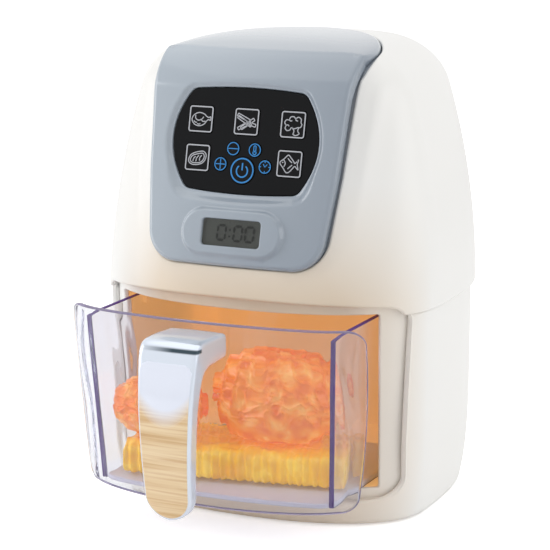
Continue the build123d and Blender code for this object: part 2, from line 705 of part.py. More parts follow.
def make_control_panel():
    block = panel_block()
    shell = block - panel_block(PANEL_T) - upper_body(WALL + GAP + 1.8, 100)
    flange = (upper_body(WALL + GAP, 100) - upper_body(WALL + GAP + 1.8, 100))
    flange = (flange & panel_prism(-PANEL_FLANGE)) - panel_prism(PANEL_T)
    shell += flange & box(-90, 90, -90, 60, PANEL_BOTTOM_Z - 8, TOP_Z + 25)
    dish = on_plate(barrel(PLATE_LEDGE + 1.4), -12, 12 + PLATE_T + 2.0) & block
    shell += dish
    pod = extrude(LCD_PLANE * SlotOverall(POD_W, POD_H), POD_UP, dir=LCD_PLANE.z_dir)
    pod += on_lcd(SlotOverall(POD_W - 8, POD_H - 4), 0, LENS_T + MODULE_T)
    shell += pod
    slope = extrude(PLATE_PLANE * barrel(GAP / 2), 9, dir=PLATE_PLANE.z_dir, taper=-32)
    shell -= slope
    shell -= on_plate(barrel(GAP / 2), -1, PLATE_T + 1)
    shell -= on_plate(barrel(-PLATE_LEDGE), 0, 30)
    window = RectangleRounded(LCD_W + GAP, LCD_H + GAP, LCD_R)
    shell -= on_lcd(window, -6, 6 + LENS_T)
    shell -= on_lcd(Rectangle(LCD_W - 3, LCD_H - 2.4), 0, 3)
    shell -= on_lcd(Rectangle(LCD_W + 5 + GAP, LCD_H + 3 + GAP), LENS_T + 0.8, 12)
    for u, v in BOARD_SCREWS:
        ledge = PLATE_T + 0.6
        boss = on_plate(Pos(u, v) * Circle(2.4), ledge, BOARD_FRONT - ledge)
        shell += boss
    for u, v in BOARD_SCREWS:
        shell -= board_screw_place(u, v) * screw_hole(SHORT_SCREW_L)
    return shell


def make_lcd_lens():
    return on_lcd(RectangleRounded(LCD_W, LCD_H, LCD_R), 0, LENS_T)


def make_lcd_module():
    return on_lcd(Rectangle(LCD_W + 5, LCD_H + 3), LENS_T + 0.8, MODULE_T)


def make_upper_casing():
    shell = upper_body(0) - upper_body(WALL, PART_Z - 0.01)
    shell -= panel_prism(-GAP)
    shell -= front_cut(arch_face(), -10)
    y = WIDEST_Y + upper_sizes(SPEAKER_Z, 0)[2]
    for i in range(GRILLE_SLOTS):
        offset = (i - (GRILLE_SLOTS - 1) / 2) * GRILLE_PITCH
        half = sqrt((SPEAKER_R - 5) ** 2 - offset**2)
        z = SPEAKER_Z + offset
        shell -= box(-half, half, y - 12, y + 12, z - GRILLE_H / 2, z + GRILLE_H / 2)
    inside = upper_body(WALL / 2)
    for x, y_post in CASE_POSTS:
        web = post_web(x, y_post, PART_Z + 4, PART_Z + 22)
        shell += tube(POST_R, x, y_post, PART_Z - 4, PART_Z + 22) + (web & inside)
        shell -= tube(THREAD_R, x, y_post, PART_Z - 10, PART_Z - 8 + CASE_SCREW_L + 0.4)
    for side in (-1, 1):
        shell += behind_speaker(EAR_R, -2.15, side * EAR_X) & inside
        shell -= ear_screw_place(side) * screw_hole(SHORT_SCREW_L)
    seat = behind_speaker(SPEAKER_R + 1, 0) - behind_speaker(SPEAKER_R - 2, -1)
    return shell + (seat & inside)


def speaker_back_y():
    """Plane that the speaker's rim stands on, just clear of the wall."""
    return WIDEST_Y + upper_sizes(SPEAKER_Z + SPEAKER_R, WALL)[2] - 1.5


def behind_speaker(radius, y, x=0.0):
    """Round bar that runs backward from y, measured from the speaker's seat."""
    return Pos(x, speaker_back_y() + y + 15, SPEAKER_Z) * Rot(90, 0, 0) * Cylinder(radius, 30)


def make_speaker():
    y = speaker_back_y()
    rim = Pos(0, y - 1.1, SPEAKER_Z) * Rot(90, 0, 0) * Cylinder(SPEAKER_R, 2.0)
    cone = Pos(0, y - 3.6, SPEAKER_Z) * Rot(90, 0, 0) * Cone(SPEAKER_R - 3, 8, 3)
    magnet = Pos(0, y - 6.6, SPEAKER_Z) * Rot(90, 0, 0) * Cylinder(8, 3.2)
    return rim + cone + magnet


def make_speaker_retainer():
    y = speaker_back_y() - 2.1 - 0.1
    ring = Pos(0, y - 1, SPEAKER_Z) * Rot(90, 0, 0) * Cylinder(SPEAKER_R + 1, 2.0)
    ring -= Pos(0, y, SPEAKER_Z) * Rot(90, 0, 0) * Cylinder(SPEAKER_R - 2.6, 8)
    ears = box(-EAR_X - 3.6, EAR_X + 3.6, y - 2, y, SPEAKER_Z - 3.5, SPEAKER_Z + 3.5)
    ears -= Pos(0, y, SPEAKER_Z) * Rot(90, 0, 0) * Cylinder(SPEAKER_R - 0.5, 8)
    for side in (-1, 1):
        ears -= Pos(side * EAR_X, y, SPEAKER_Z) * Rot(90, 0, 0) * Cylinder(CLEAR_R, 8)
    return ring + ears


def make_battery_box():
    z0, z1 = BOX_Z
    body = box(-BOX_HALF_W, BOX_HALF_W, BOX_FRONT_Y, BOX_BACK_Y, z0, z1)
    hollow_w = BOX_HALF_W - BOX_WALL
    body -= box(-hollow_w, hollow_w, BOX_FRONT_Y + BOX_WALL, BOX_BACK_Y + 1, z0 + BOX_WALL, z1 - BOX_WALL)
    boss_y = WIDEST_Y + lower_sizes(COVER_SCREW_Z, COVER_T)[2] - GAP
    body += box(-5, 5, BOX_FRONT_Y + 4, boss_y, z1 - BOX_WALL, COVER_SCREW_Z + 4)
    return body - cover_screw_place() * screw_hole(COVER_SCREW_L)


def make_batteries():
    cells = []
    for i, z in enumerate(CELL_Z):
        flip = 1 if i % 2 else -1
        can = Rot(0, 90, 0) * Cylinder(CELL_R, CELL_L - 1.2)
        nub = Pos(flip * (CELL_L - 0.6) / 2, 0, 0) * Rot(0, 90, 0) * Cylinder(2.6, 1.8)
        cells.append(Pos(-flip * 0.6, CELL_Y, z) * (can + nub))
    return Compound(cells)


def make_battery_contacts():
    contacts = []
    wall_x = BOX_HALF_W - BOX_WALL - 0.05
    for side in (-1, 1):
        for z in CELL_Z:
            x0, x1 = sorted((side * wall_x, side * (wall_x - CONTACT_T)))
            plate = box(x0, x1, CELL_Y - 5, CELL_Y + 5, z - 5, z + 5)
            s0, s1 = sorted((side * (wall_x - 0.2), side * (CELL_L / 2 + 0.4)))
            button = Pos((s0 + s1) / 2, CELL_Y, z) * Rot(0, 90, 0) * Cylinder(2.4, s1 - s0)
            contacts.append(plate + button)
    return Compound(contacts)


def make_battery_cover():
    low = COVER_Z[0]
    cover = (lower_body(0) - lower_body(COVER_T)) & back_cut(cover_face(), 60)
    tab_y = WIDEST_Y + lower_sizes(low, WALL)[2]
    tab = box(-14, 14, tab_y - 2.2, tab_y - 0.35, low - 3, low + 2.4)
    cover_in = WIDEST_Y + lower_sizes(low, COVER_T)[2]
    tab += box(-14, 14, tab_y - 2.2, cover_in + 0.2, low + 0.2, low + 2.4)
    cover += tab
    cover -= cover_screw_place() * Cylinder(CLEAR_R, 30)
    return cover - cover_screw_place() * Pos(0, 0, -5) * Cylinder(SCREW_HEAD_R + 0.3, 10)


def cover_screw_place():
    """Place of the cover's screw: its head sunk in the cover, its shank forward."""
    y = WIDEST_Y + lower_sizes(COVER_SCREW_Z, 0)[2] - 1.0
    return Pos(0, y, COVER_SCREW_Z) * Rot(90, 0, 0)


def make_cover_screw():
    return cover_screw_place() * screw(COVER_SCREW_L)


def front_plan(z, top, depth):
    """Plan curve of the drawer's front at height z, set back by depth along its normal."""
    bend_w, bend = (FRONT_TOP_W, WING_BEND) if top else (FRONT_BOTTOM_W, WING_BEND_LOW)
    end = bend_w + 4
    y0 = drawer_face_y() + LAND_LEAN * (PART_Z - z)
    points = []
    count = 25
    for i in range(count):
        x = end * (2 * i / (count - 1) - 1)
        share = abs(x) / bend_w
        y = y0 + x * x / (2 * PLAN_R) + bend * share**8
        slope = x / PLAN_R + (1 if x > 0 else -1) * 8 * bend * share**7 / bend_w
        size = hypot(1, slope)
        points.append((x - depth * slope / size, y + depth / size, z))
    return points


def drawer_face_y():
    """Front of the drawer at mid width, at the parting line's height."""
    land = WIDEST_Y - (FRONT_D - LIP_STEP - LAND_DEPTH)
    return land - GAP - FRONT_T - DRAWER_OUT


def behind_front(depth):
    """Everything behind the drawer front's surface, set back by depth."""
    faces = []
    for z, top in ((4, False), (110, True)):
        curve = Spline(*front_plan(z, top, depth))
        a, b = curve @ 0, curve @ 1
        rest = Polyline(b, (b.X, BASKET_BACK_Y + 30, z), (a.X, BASKET_BACK_Y + 30, z), a)
        faces.append(Face(Wire([curve] + list(rest.edges()))))
    return loft(faces, ruled=True)


def front_outline():
    """Outline of the drawer's front plate in the XZ plane."""
    bottom = ThreePointArc(
        (-FRONT_BOTTOM_W, FRONT_BOTTOM_Z + FRONT_BOTTOM_RISE),
        (0, FRONT_BOTTOM_Z),
        (FRONT_BOTTOM_W, FRONT_BOTTOM_Z + FRONT_BOTTOM_RISE),
    )
    top = ThreePointArc(
        (FRONT_TOP_W, FRONT_TOP_Z - FRONT_CORNER_DROP),
        (0, FRONT_TOP_Z),
        (-FRONT_TOP_W, FRONT_TOP_Z - FRONT_CORNER_DROP),
    )
    middle = (bottom @ 1 + top @ 0) / 2 + Vector(FRONT_BULGE, 0, 0)
    side = ThreePointArc(bottom @ 1, middle, top @ 0)
    face = make_face(bottom + side + top + mirror(side, about=Plane.YZ))
    return Plane.XZ * fillet(face.vertices(), FRONT_R)


def basket_body(inset):
    """Tapered tub with round rear corners, drawn in by inset."""
    z0 = OPEN_BOTTOM_Z + GAP + inset
    z1 = BASKET_TOP_Z + (1 if inset else 0)
    faces = []
    for z in (z0, z1):
        share = (z - OPEN_BOTTOM_Z) / (BASKET_TOP_Z - OPEN_BOTTOM_Z)
        w = BASKET_BOTTOM_W + (BASKET_TOP_W - BASKET_BOTTOM_W) * share - inset
        back = BASKET_BACK_Y - inset - 2.0 * (1 - share)
        outline = FilletPolyline(
            (-w, -125), (-w, back), (w, back), (w, -125), radius=BASKET_R - inset
        )
        face = make_face(outline + Line((w, -125), (-w, -125)))
        faces.append(Pos(0, 0, z) * face)
    return loft(faces, ruled=True)


def make_drawer_basket():
    behind = behind_front(FRONT_T)
    tub = (basket_body(0) & behind_front(FRONT_T / 2)) - (basket_body(BASKET_T) & behind)
    rim_y = drawer_face_y() + FRONT_T
    wedge_profile = Polyline(
        (rim_y - 6, BASKET_TOP_Z + 3), (rim_y + 17, BASKET_TOP_Z + 3), (rim_y + 17, BASKET_TOP_Z),
        (rim_y - 6, BASKET_TOP_Z - 2.4), close=True
    )
    wedge = extrude(Pos(-90, 0, 0) * (Plane.YZ * make_face(wedge_profile)), 180, dir=(1, 0, 0))
    tub -= wedge
    plate = (behind_front(0) - behind) & front_cut(front_outline(), 0)
    for side in (-1, 1):
        x = side * STOP_X
        tub += box(
            x - STOP_W / 2, x + STOP_W / 2, BASKET_BACK_Y - BASKET_T, BASKET_BACK_Y - 0.05,
            BASKET_TOP_Z - 4, BASKET_TOP_Z + STOP_UP,
        )
    drawer = tub + plate
    for side in (-1, 1):
        hole = Rot(90, 0, 0) * Cylinder(CLEAR_R, 20)
        drawer -= Pos(side * HANDLE_SCREW_X, rim_y, HANDLE_SCREW_Z) * hole
    return drawer


def neck_back_y():
    """Where the handle's neck meets the drawer's front, at the screws' height."""
    return drawer_face_y() + LAND_LEAN * (PART_Z - HANDLE_SCREW_Z) - 0.05


def handle_profile(inset=0.0):
    """Side profile of the handle in the YZ plane."""
    face_y = HANDLE_FACE_Y + inset
    back_y = HANDLE_FACE_Y + HANDLE_T
    top, end = HANDLE_TOP_Z - inset, HANDLE_END_Z + inset
    front = Spline(
        (face_y + 3.6, top - 5.5), (face_y + 0.1, 68), (face_y + 0.3, 48), (face_y + 4.6, end)
    )
    crown = ThreePointArc((face_y + 10.0, top), (face_y + 5.2, top - 1.6), (face_y + 3.6, top - 5.5))
    plate_y = neck_back_y() + 3
    neck = Line((plate_y, top - 0.6), (face_y + 10.0, top))
    close = Line((plate_y, NECK_LOW_Z), (plate_y, top - 0.6))
    under = Line((back_y + 6.5, NECK_LOW_Z - 1.2), (plate_y, NECK_LOW_Z))
    bend = ThreePointArc(
        (back_y + 0.6, NECK_LOW_Z - 8), (back_y + 2.2, NECK_LOW_Z - 3.2), (back_y + 6.5, NECK_LOW_Z - 1.2)
    )
    back = Spline((back_y + 3.0, end), (back_y + 0.2, 40), (back_y + 0.6, NECK_LOW_Z - 8))
    foot = Line((face_y + 4.6, end), (back_y + 3.0, end))
    return Plane.YZ * make_face(front + crown + neck + close + under + bend + back + foot)


def handle_outline(inset=0.0):
    """Front outline of the handle in the XZ plane, narrowing to a round end."""
    w, tip = HANDLE_W - inset, HANDLE_TIP_W - inset
    end = HANDLE_END_Z + inset
    side = Line((w, HANDLE_TOP_Z + 5), (tip, end + tip))
    arc = ThreePointArc((tip, end + tip), (0, end), (-tip, end + tip))
    other = Line((-tip, end + tip), (-w, HANDLE_TOP_Z + 5))
    top = Line((-w, HANDLE_TOP_Z + 5), (w, HANDLE_TOP_Z + 5))
    return Plane.XZ * make_face(side + arc + other + top)


def handle_solid():
    profile = extrude(Pos(-30, 0, 0) * handle_profile(), 60, dir=(1, 0, 0))
    return profile & front_cut(handle_outline(), -60)


def inlay_shape(grow):
    """Inlay in the handle's face, or with some growth the shallow pocket for it."""
    face = extrude(Pos(-30, 0, 0) * handle_profile(), 60, dir=(1, 0, 0))
    inner = extrude(Pos(-30, INLAY_T + grow / 2, 0) * handle_profile(), 60, dir=(1, 0, 0))
    top = box(-30, 30, -200, HANDLE_FACE_Y + 6, 0, HANDLE_TOP_Z - 9 + grow)
    return (face - inner) & front_cut(handle_outline(INLAY_EDGE - grow), HANDLE_FACE_Y + 6) & top


def make_handle_shell():
    shell = handle_solid() & in_front_of_plate()
    shell -= inlay_shape(0.1)
    for side in (-1, 1):
        shell -= handle_screw_place(side) * screw_hole(HANDLE_SCREW_L)
    return shell


def in_front_of_plate():
    """Space in front of the drawer's plate, which the handle's neck is cut to."""
    return box(-90, 90, -200, 0, -20, 140) - behind_front(-0.05)


def handle_screw_place(side):
    """Place of a handle screw: its head behind the drawer's front, its shank forward."""
    y = drawer_face_y() + LAND_LEAN * (PART_Z - HANDLE_SCREW_Z) + FRONT_T + 0.45
    return Pos(side * HANDLE_SCREW_X, y, HANDLE_SCREW_Z) * Rot(90, 0, 0)


def make_handle_screws():
    return Compound([handle_screw_place(side) * screw(HANDLE_SCREW_L) for side in (-1, 1)])


def floor_z():
    return OPEN_BOTTOM_Z + GAP + BASKET_T


def make_fries():
    """Crinkle-cut fries, moulded as one ribbed slab."""
    slab = box(-FRIES_W, FRIES_W, -FRIES_D, FRIES_D, 0, FRIES_H)
    pitch = 2 * FRIES_W / FRIES_COUNT
    for i in range(1, FRIES_COUNT):
        slab -= tube(1.6, pitch * i - FRIES_W, -FRIES_D - 0.6, -1, FRIES_H + 1)
    return Pos(0, FRIES_Y, floor_z() + FOOD_GAP) * Rot(0, 0, FRIES_TURN) * slab


def make_chicken(centre, radii):
    """Rounded piece of play chicken, flat where it rests on the fries."""
    body = Pos(*centre) * scale(Sphere(1), by=radii)
    rest = floor_z() + 2 * FOOD_GAP + FRIES_H
    return body & box(-90, 90, -120, 40, rest, 120)


def main():
    parts = {
        "upper_casing": make_upper_casing,
        "lower_casing": make_lower_casing,
        "base_plate": make_base_plate,
        "base_screws": make_base_screws,
        "case_screws": make_case_screws,
        "cavity_liner": make_bay,
        "drawer_rails": make_rails,
        "light_lens": make_light_lens,
        "light_board": make_light_board,
        "control_panel": make_control_panel,
        "touch_plate": make_touch_plate,
        "lcd_lens": make_lcd_lens,
        "lcd_module": make_lcd_module,
        "key_mat": make_key_mat,
        "main_board": make_main_board,
        "board_parts": make_board_parts,
        "short_screws": make_short_screws,
        "speaker": make_speaker,
        "speaker_retainer": make_speaker_retainer,
        "battery_box": make_battery_box,
        "batteries": make_batteries,
        "battery_contacts": make_battery_contacts,
        "battery_cover": make_battery_cover,
        "battery_cover_screw": make_cover_screw,
        "drawer_basket": make_drawer_basket,
        "handle_shell": make_handle_shell,
        "handle_inlay": lambda: inlay_shape(0.0),
        "handle_screws": make_handle_screws,
        "food_fries": make_fries,
        "food_chicken_right": lambda: make_chicken(*CHICKEN_RIGHT),
        "food_chicken_left": lambda: make_chicken(*CHICKEN_LEFT),
    }
    for name, place in KEYS.items():
        parts[name] = lambda place=place: make_key(*place)
    os.makedirs("parts", exist_ok=True)
    for name, make in parts.items():
        shape = make()
        export_step(shape, f"parts/{name}.step")
        print(name, round(shape.volume), len(shape.solids()))


if __name__ == "__main__":
    main()
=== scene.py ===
import json
from math import cos, hypot, pi, radians, sin, sqrt

import bpy
import numpy as np
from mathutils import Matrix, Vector, noise
from mathutils.geometry import delaunay_2d_cdt


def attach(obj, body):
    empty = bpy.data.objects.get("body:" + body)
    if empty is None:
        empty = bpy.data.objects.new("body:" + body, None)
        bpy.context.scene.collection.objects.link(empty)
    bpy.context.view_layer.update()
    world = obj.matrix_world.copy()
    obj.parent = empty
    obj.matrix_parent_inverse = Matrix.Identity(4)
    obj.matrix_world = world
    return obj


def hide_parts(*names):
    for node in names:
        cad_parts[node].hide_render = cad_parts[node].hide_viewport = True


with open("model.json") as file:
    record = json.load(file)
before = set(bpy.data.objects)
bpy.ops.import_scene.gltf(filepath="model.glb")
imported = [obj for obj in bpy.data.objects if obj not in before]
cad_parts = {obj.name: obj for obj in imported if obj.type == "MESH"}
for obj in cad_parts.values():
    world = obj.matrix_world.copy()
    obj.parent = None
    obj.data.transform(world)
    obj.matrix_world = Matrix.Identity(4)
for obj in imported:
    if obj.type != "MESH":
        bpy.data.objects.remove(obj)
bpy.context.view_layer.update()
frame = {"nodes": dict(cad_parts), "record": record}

# Shapes are in millimetres, and MM turns them into metres. Materials, lamps and the camera are in metres.
MM = 0.001

# Casing
PART_Z = 93.85
TOP_Z = 204.9
DOME, DOME_REACH = 1.0, 20
WIDEST_Y = -20.6
HALF_W, FRONT_D, BACK_D = 78.0, 52.6, 92.6
FRONT_POWER, BACK_POWER = 2.28, 3.26
TAPER_W, TAPER_BACK = 20.4, 10.7
LEAN_FRONT, LEAN_START = 0.26, 96.85
SHOULDER_R = 20.1
SHOULDER_Z = TOP_Z - SHOULDER_R
LIP_STEP = 1.8
BASE_W, BASE_FRONT, BASE_R = 4.0, 9.3, 3.0
BASE_GROW = 5.7
WALL = 2.4
GAP = 0.3

# Arched recess and the drawer's opening in it
ARCH_TOP_Z, ARCH_TOP_W = 100.2, 71.2
ARCH_BOTTOM_Z, ARCH_BOTTOM_W = 10.4, 69.0
ARCH_SAG, ARCH_RISE = 2.6, 3.0
ARCH_TOP_R, ARCH_BOTTOM_R = 7.0, 10.0
ARCH_CROWN_W, ARCH_BASE_W = 58, 50
LAND_DEPTH = 3.2
LAND_LEAN = 0.096
LAND_WALL, LAND_UNDER, LAND_EDGE_R = 2.4, 1.0, 0.3
LAND_W = HALF_W - LIP_STEP - LAND_DEPTH + 1.2
STEP_WALL, STEP_BEHIND_SKIN, STEP_IN_LAND = 1.6, (1.3, 2.3), 1.0
OPEN_TOP_Z, OPEN_TOP_W = 94.5, 61.4
OPEN_BOTTOM_Z, OPEN_BOTTOM_W = 17.0, 60.2
OPEN_R, OPEN_EDGE_R = 0.8, 0.8

# Control panel
PANEL_OUT = 1.8
PANEL_BOTTOM_Z, PANEL_BOTTOM_W = 113.5, 40.5
PANEL_LOW_SIDE, PANEL_HIGH_SIDE = (44.3, 152.0), (45.5, 174.0)
CREASE_W, CREASE_Y, CREASE_Z = 47.2, -38.0, 201.8
PANEL_TOP_Z = 207.3
PANEL_TOP_W, PANEL_TOP_W_Y, PANEL_TOP_D, PANEL_TOP_POWER = 49.0, -25.0, 57.0, 1.55
PANEL_BACK_Y = PANEL_TOP_W_Y + PANEL_TOP_D
ROOF_W, ROOF_H, ROOF_POWER = 50.0, 14.0, 3.4
PANEL_CORNER_R, PANEL_SIDE_R, PANEL_CREASE_R = 14.0, 60, 30
PANEL_OVER, PANEL_CUT = 40, 30  # the front outline runs on over the crease, and is cut off there
OPENING_BELOW, OPENING_BEHIND = 9, 1.5  # the casing's opening skips this much of the outline at the crease
PANEL_GAP = 0.4

# Black plate, timer display and keys
PLATE_Y, PLATE_Z, PLATE_TILT = -53.7, 165.0, radians(12.9)
PLATE_H, PLATE_W, PLATE_TOP_W, PLATE_CORNER_V, PLATE_R = 22.7, 34.3, 28.6, 21.6, 5.0
PLATE_T, TOUCH_EDGE_R, KEY_HOLE_GAP, KEY_HOLE_EDGE_R = 2.0, 0.4, 0.35, 0.15
LCD_Y, LCD_Z = -67.4, 127.4
LCD_W, LCD_H, LCD_R = 27.2, 11.2, 1.6
POD_W, POD_H, POD_UP = 47.8, 20.8, 1.3
SQUARE_KEY, SQUARE_KEY_R = 11.6, 1.3
KEY_PROUD = 0.3
KEYS = {
    "key_roast": (-21.75, 8.3),
    "key_fries": (0.0, 8.3),
    "key_vegetable": (21.75, 8.3),
    "key_steak": (-21.75, -8.35),
    "key_fish": (21.75, -8.35),
    "key_power": (0.0, -12.6),
    "key_minus": (-5.1, -3.5),
    "key_temperature": (5.1, -3.5),
    "key_plus": (-10.5, -10.4),
    "key_timer": (10.5, -10.4),
}
ROUND_KEYS = {"key_power": 5.8, "key_minus": 3.0, "key_temperature": 3.0, "key_plus": 3.0, "key_timer": 3.0}

# Drawer
DRAWER_OUT = 30.2
FRONT_T = 2.4
FRONT_TOP_Z, FRONT_CORNER_DROP, FRONT_TOP_W = 96.0, 0.6, 69.5
FRONT_BOTTOM_Z, FRONT_BOTTOM_RISE, FRONT_BOTTOM_W = 13.4, 2.4, 64.5
FRONT_R, FRONT_BULGE = 7.0, 1.5
PLAN_R = 240.0
WING_BEND, WING_BEND_LOW, WING_POWER = 7.5, 7.8, 8
WING_LOW_Z, WING_RISE = 4, 106
FACE_Y = WIDEST_Y - (FRONT_D - LIP_STEP - LAND_DEPTH) - GAP - FRONT_T - DRAWER_OUT
BASKET_TOP_Z, BASKET_BOTTOM_Z = 92.0, OPEN_BOTTOM_Z + GAP
BASKET_TOP_W, BASKET_BOTTOM_W = 57.8, 54.6
BASKET_T, BASKET_BACK_Y, BASKET_LEAN, BASKET_R = 2.2, 13.0, 2.0, 9.0
TUB_SPAN = 170.0  # half of the tub wall's length, for even meshes
TUB_SIDE, TUB_BACK = 0.55, 0.44  # shares of the tub's outline at which its corners start and end
TUB_CORNER, TUB_STRAIGHT = 0.11, 0.45  # shares that a corner and a side take
RIM_R, RIM_BAND = 0.6, 0.35
RIM_DROP, RIM_DROP_FROM, RIM_DROP_RUN = 2.4, 17, 23
RIM_DIP, RIM_DIP_RUN = 0.6, 8
RIPPLE, RIPPLE_WING, RIPPLE_FINE, RIPPLE_PITCH = 0.10, 0.24, 0.18, 6.3
RIPPLE_WING_X, RIPPLE_WANDER = 50, 9
PLATE_EDGE_R, NECK_HOLE_R, NECK_HOLE_X, NECK_HOLE_Z = 0.7, 2.0, 7.0, 87.0
TUB_JOINT = 0.75  # gap in the mesh between the tub's front ends and the plate's back
FLOOR_JOINT, TUB_END = 1.2, 1.15

# Battery cover and speaker grille, in the back
COVER_W, COVER_H, COVER_MIDDLE, COVER_R = 64.0, 64.0, 52.0, 4.0
COVER_T, COVER_EDGE_R, HATCH_GROW = 2.0, 0.8, 1.1
COVER_SCREW_Z, COVER_HOLE_R, COVER_HOLE_EDGE_R = 79.0, 3.6, 0.5
SPEAKER_Z, SPEAKER_R, SPEAKER_EDGE = 142.0, 18.0, 5
GRILLE_SLOTS, GRILLE_PITCH, GRILLE_H = 5, 4.4, 1.8
SLOT_R, SLOT_EDGE_R = 1.2, 0.4

# Even meshes: millimetres of casing per radian of its plan angle, and the sizes of its mesh cells
AROUND = 66.0
CASING_STEP, EDGE_STEP, OUTLINE_STEP, PANEL_EDGE_STEP = 2.4, 2.2, 1.5, 1.6
LAND_STEP, PANEL_STEP, TUB_STEP = 2.5, 1.9, 3.0
EXTRA_REACH, LOOP_REACH = 0.6, 0.32  # how near a grid point may come to given points, in cells
ROUND_STEPS = 5
SHARP_ANGLE = radians(38)


# Meshes

def make_piece(name, verts, faces, normals=None):
    """Object from millimetre points. Vertex normals, where given, shade it as the true curved surface."""
    mesh = bpy.data.meshes.new(name)
    mesh.from_pydata([tuple(v * MM) for v in np.asarray(verts)], [], [tuple(f) for f in faces])
    mesh.validate()
    mesh.shade_smooth()
    if normals is None:
        mesh.set_sharp_from_angle(angle=SHARP_ANGLE)
    else:
        mesh.normals_split_custom_set_from_vertices([tuple(n) for n in normals])
    piece = bpy.data.objects.new(name, mesh)
    bpy.context.scene.collection.objects.link(piece)
    return piece


def columns(*values):
    """Array with the given columns."""
    return np.stack(values, axis=1)


def unit(vectors):
    """Rows of an array, each made one long."""
    size = np.linalg.norm(vectors, axis=1, keepdims=True)
    return vectors / np.maximum(size, 1e-12)


def smooth(t):
    """Soft step from 0 to 1."""
    t = np.clip(t, 0, 1)
    return t * t * (3 - 2 * t)


def inside(points, loop):
    """Which points lie inside a closed outline."""
    (x, y), (ax, ay) = points.T, loop.T
    hit = np.zeros(len(points), bool)
    bx, by = np.roll(ax, -1), np.roll(ay, -1)
    for x0, y0, x1, y1 in zip(ax, ay, bx, by):
        if y0 == y1:
            continue
        crosses = (y0 > y) != (y1 > y)
        hit ^= crosses & (x < (x1 - x0) * (y - y0) / (y1 - y0) + x0)
    return hit


def distance(points, loop):
    """Distance from each point to an outline."""
    best = np.full(len(points), 1e9)
    for a, b in zip(loop, np.roll(loop, -1, axis=0)):
        ab = b - a
        t = np.clip(((points - a) @ ab) / max(ab @ ab, 1e-12), 0, 1)
        best = np.minimum(best, np.linalg.norm(points - (a + t[:, None] * ab), axis=1))
    return best


def signed(points, loop):
    """Distance to an outline, negative inside it."""
    d = distance(points, loop)
    return np.where(inside(points, loop), -d, d)


def spread(loop, step, closed=True):
    """Outline with points about a step apart that keeps the given points."""
    out = []
    count = len(loop) if closed else len(loop) - 1
    for a, b in zip(loop[:count], np.roll(loop, -1, axis=0)):
        n = max(1, int(np.linalg.norm(b - a) / step + 0.5))
        out += [a + (b - a) * k / n for k in range(n)]
    if not closed:
        out.append(loop[-1])
    return np.array(out)


def arc(centre, radius, start, end, count):
    """Points on an arc, angles in degrees."""
    angles = np.radians(np.linspace(start, end, count))
    return np.array([(centre[0] + radius * cos(a), centre[1] + radius * sin(a)) for a in angles])


def rounded(corners, radii, count=7):
    """Closed polygon with its corners rounded."""
    corners = [np.array(c, float) for c in corners]
    out = []
    for i, corner in enumerate(corners):
        r = radii[i] if isinstance(radii, (list, tuple)) else radii
        a = corners[i - 1] - corner
        b = corners[(i + 1) % len(corners)] - corner
        a, b = a / np.linalg.norm(a), b / np.linalg.norm(b)
        half = np.arccos(np.clip(a @ b, -1, 1)) / 2
        reach = r / np.tan(half)
        middle = (a + b) / np.linalg.norm(a + b)
        centre = corner + middle * r / sin(half)
        p, q = corner + a * reach - centre, corner + b * reach - centre
        turn = np.arccos(np.clip(p @ q / (r * r), -1, 1)) if r > 0 else 0
        if turn < 1e-6:
            out.append(corner)
            continue
        for k in range(count):
            t = k / (count - 1)
            out.append(centre + (sin((1 - t) * turn) * p + sin(t * turn) * q) / sin(turn))
    return np.array(out)


def rectangle(w, h, r, u=0.0, v=0.0, count=7):
    """Rounded rectangle of width w and height h."""
    return rounded([(u + w / 2, v + h / 2), (u - w / 2, v + h / 2), (u - w / 2, v - h / 2),
                    (u + w / 2, v - h / 2)], r, count)


def circle(r, u=0.0, v=0.0, count=40):
    return arc((u, v), r, 0, 360, count + 1)[:-1]


def winding(loop):
    """1 for an anticlockwise outline, -1 for a clockwise one."""
    (x, y), (x1, y1) = loop.T, np.roll(loop, -1, axis=0).T
    return 1 if np.sum(x * y1 - x1 * y) > 0 else -1


def shrink(loop, amount):
    """Outline moved inward by an amount, negative to grow it."""
    a = unit(loop - np.roll(loop, 1, axis=0))
    b = unit(np.roll(loop, -1, axis=0) - loop)
    n = unit(columns(-(a + b)[:, 1], (a + b)[:, 0])) * winding(loop)
    stretch = 1 / np.maximum(np.abs(np.sum(n * columns(-a[:, 1], a[:, 0]), axis=1)), 0.5)
    return loop + n * amount * stretch[:, None]


def within(points, loops):
    """Which points lie inside loops[0] and outside the others."""
    keep = inside(points, loops[0])
    for hole in loops[1:]:
        keep &= ~inside(points, hole)
    return keep


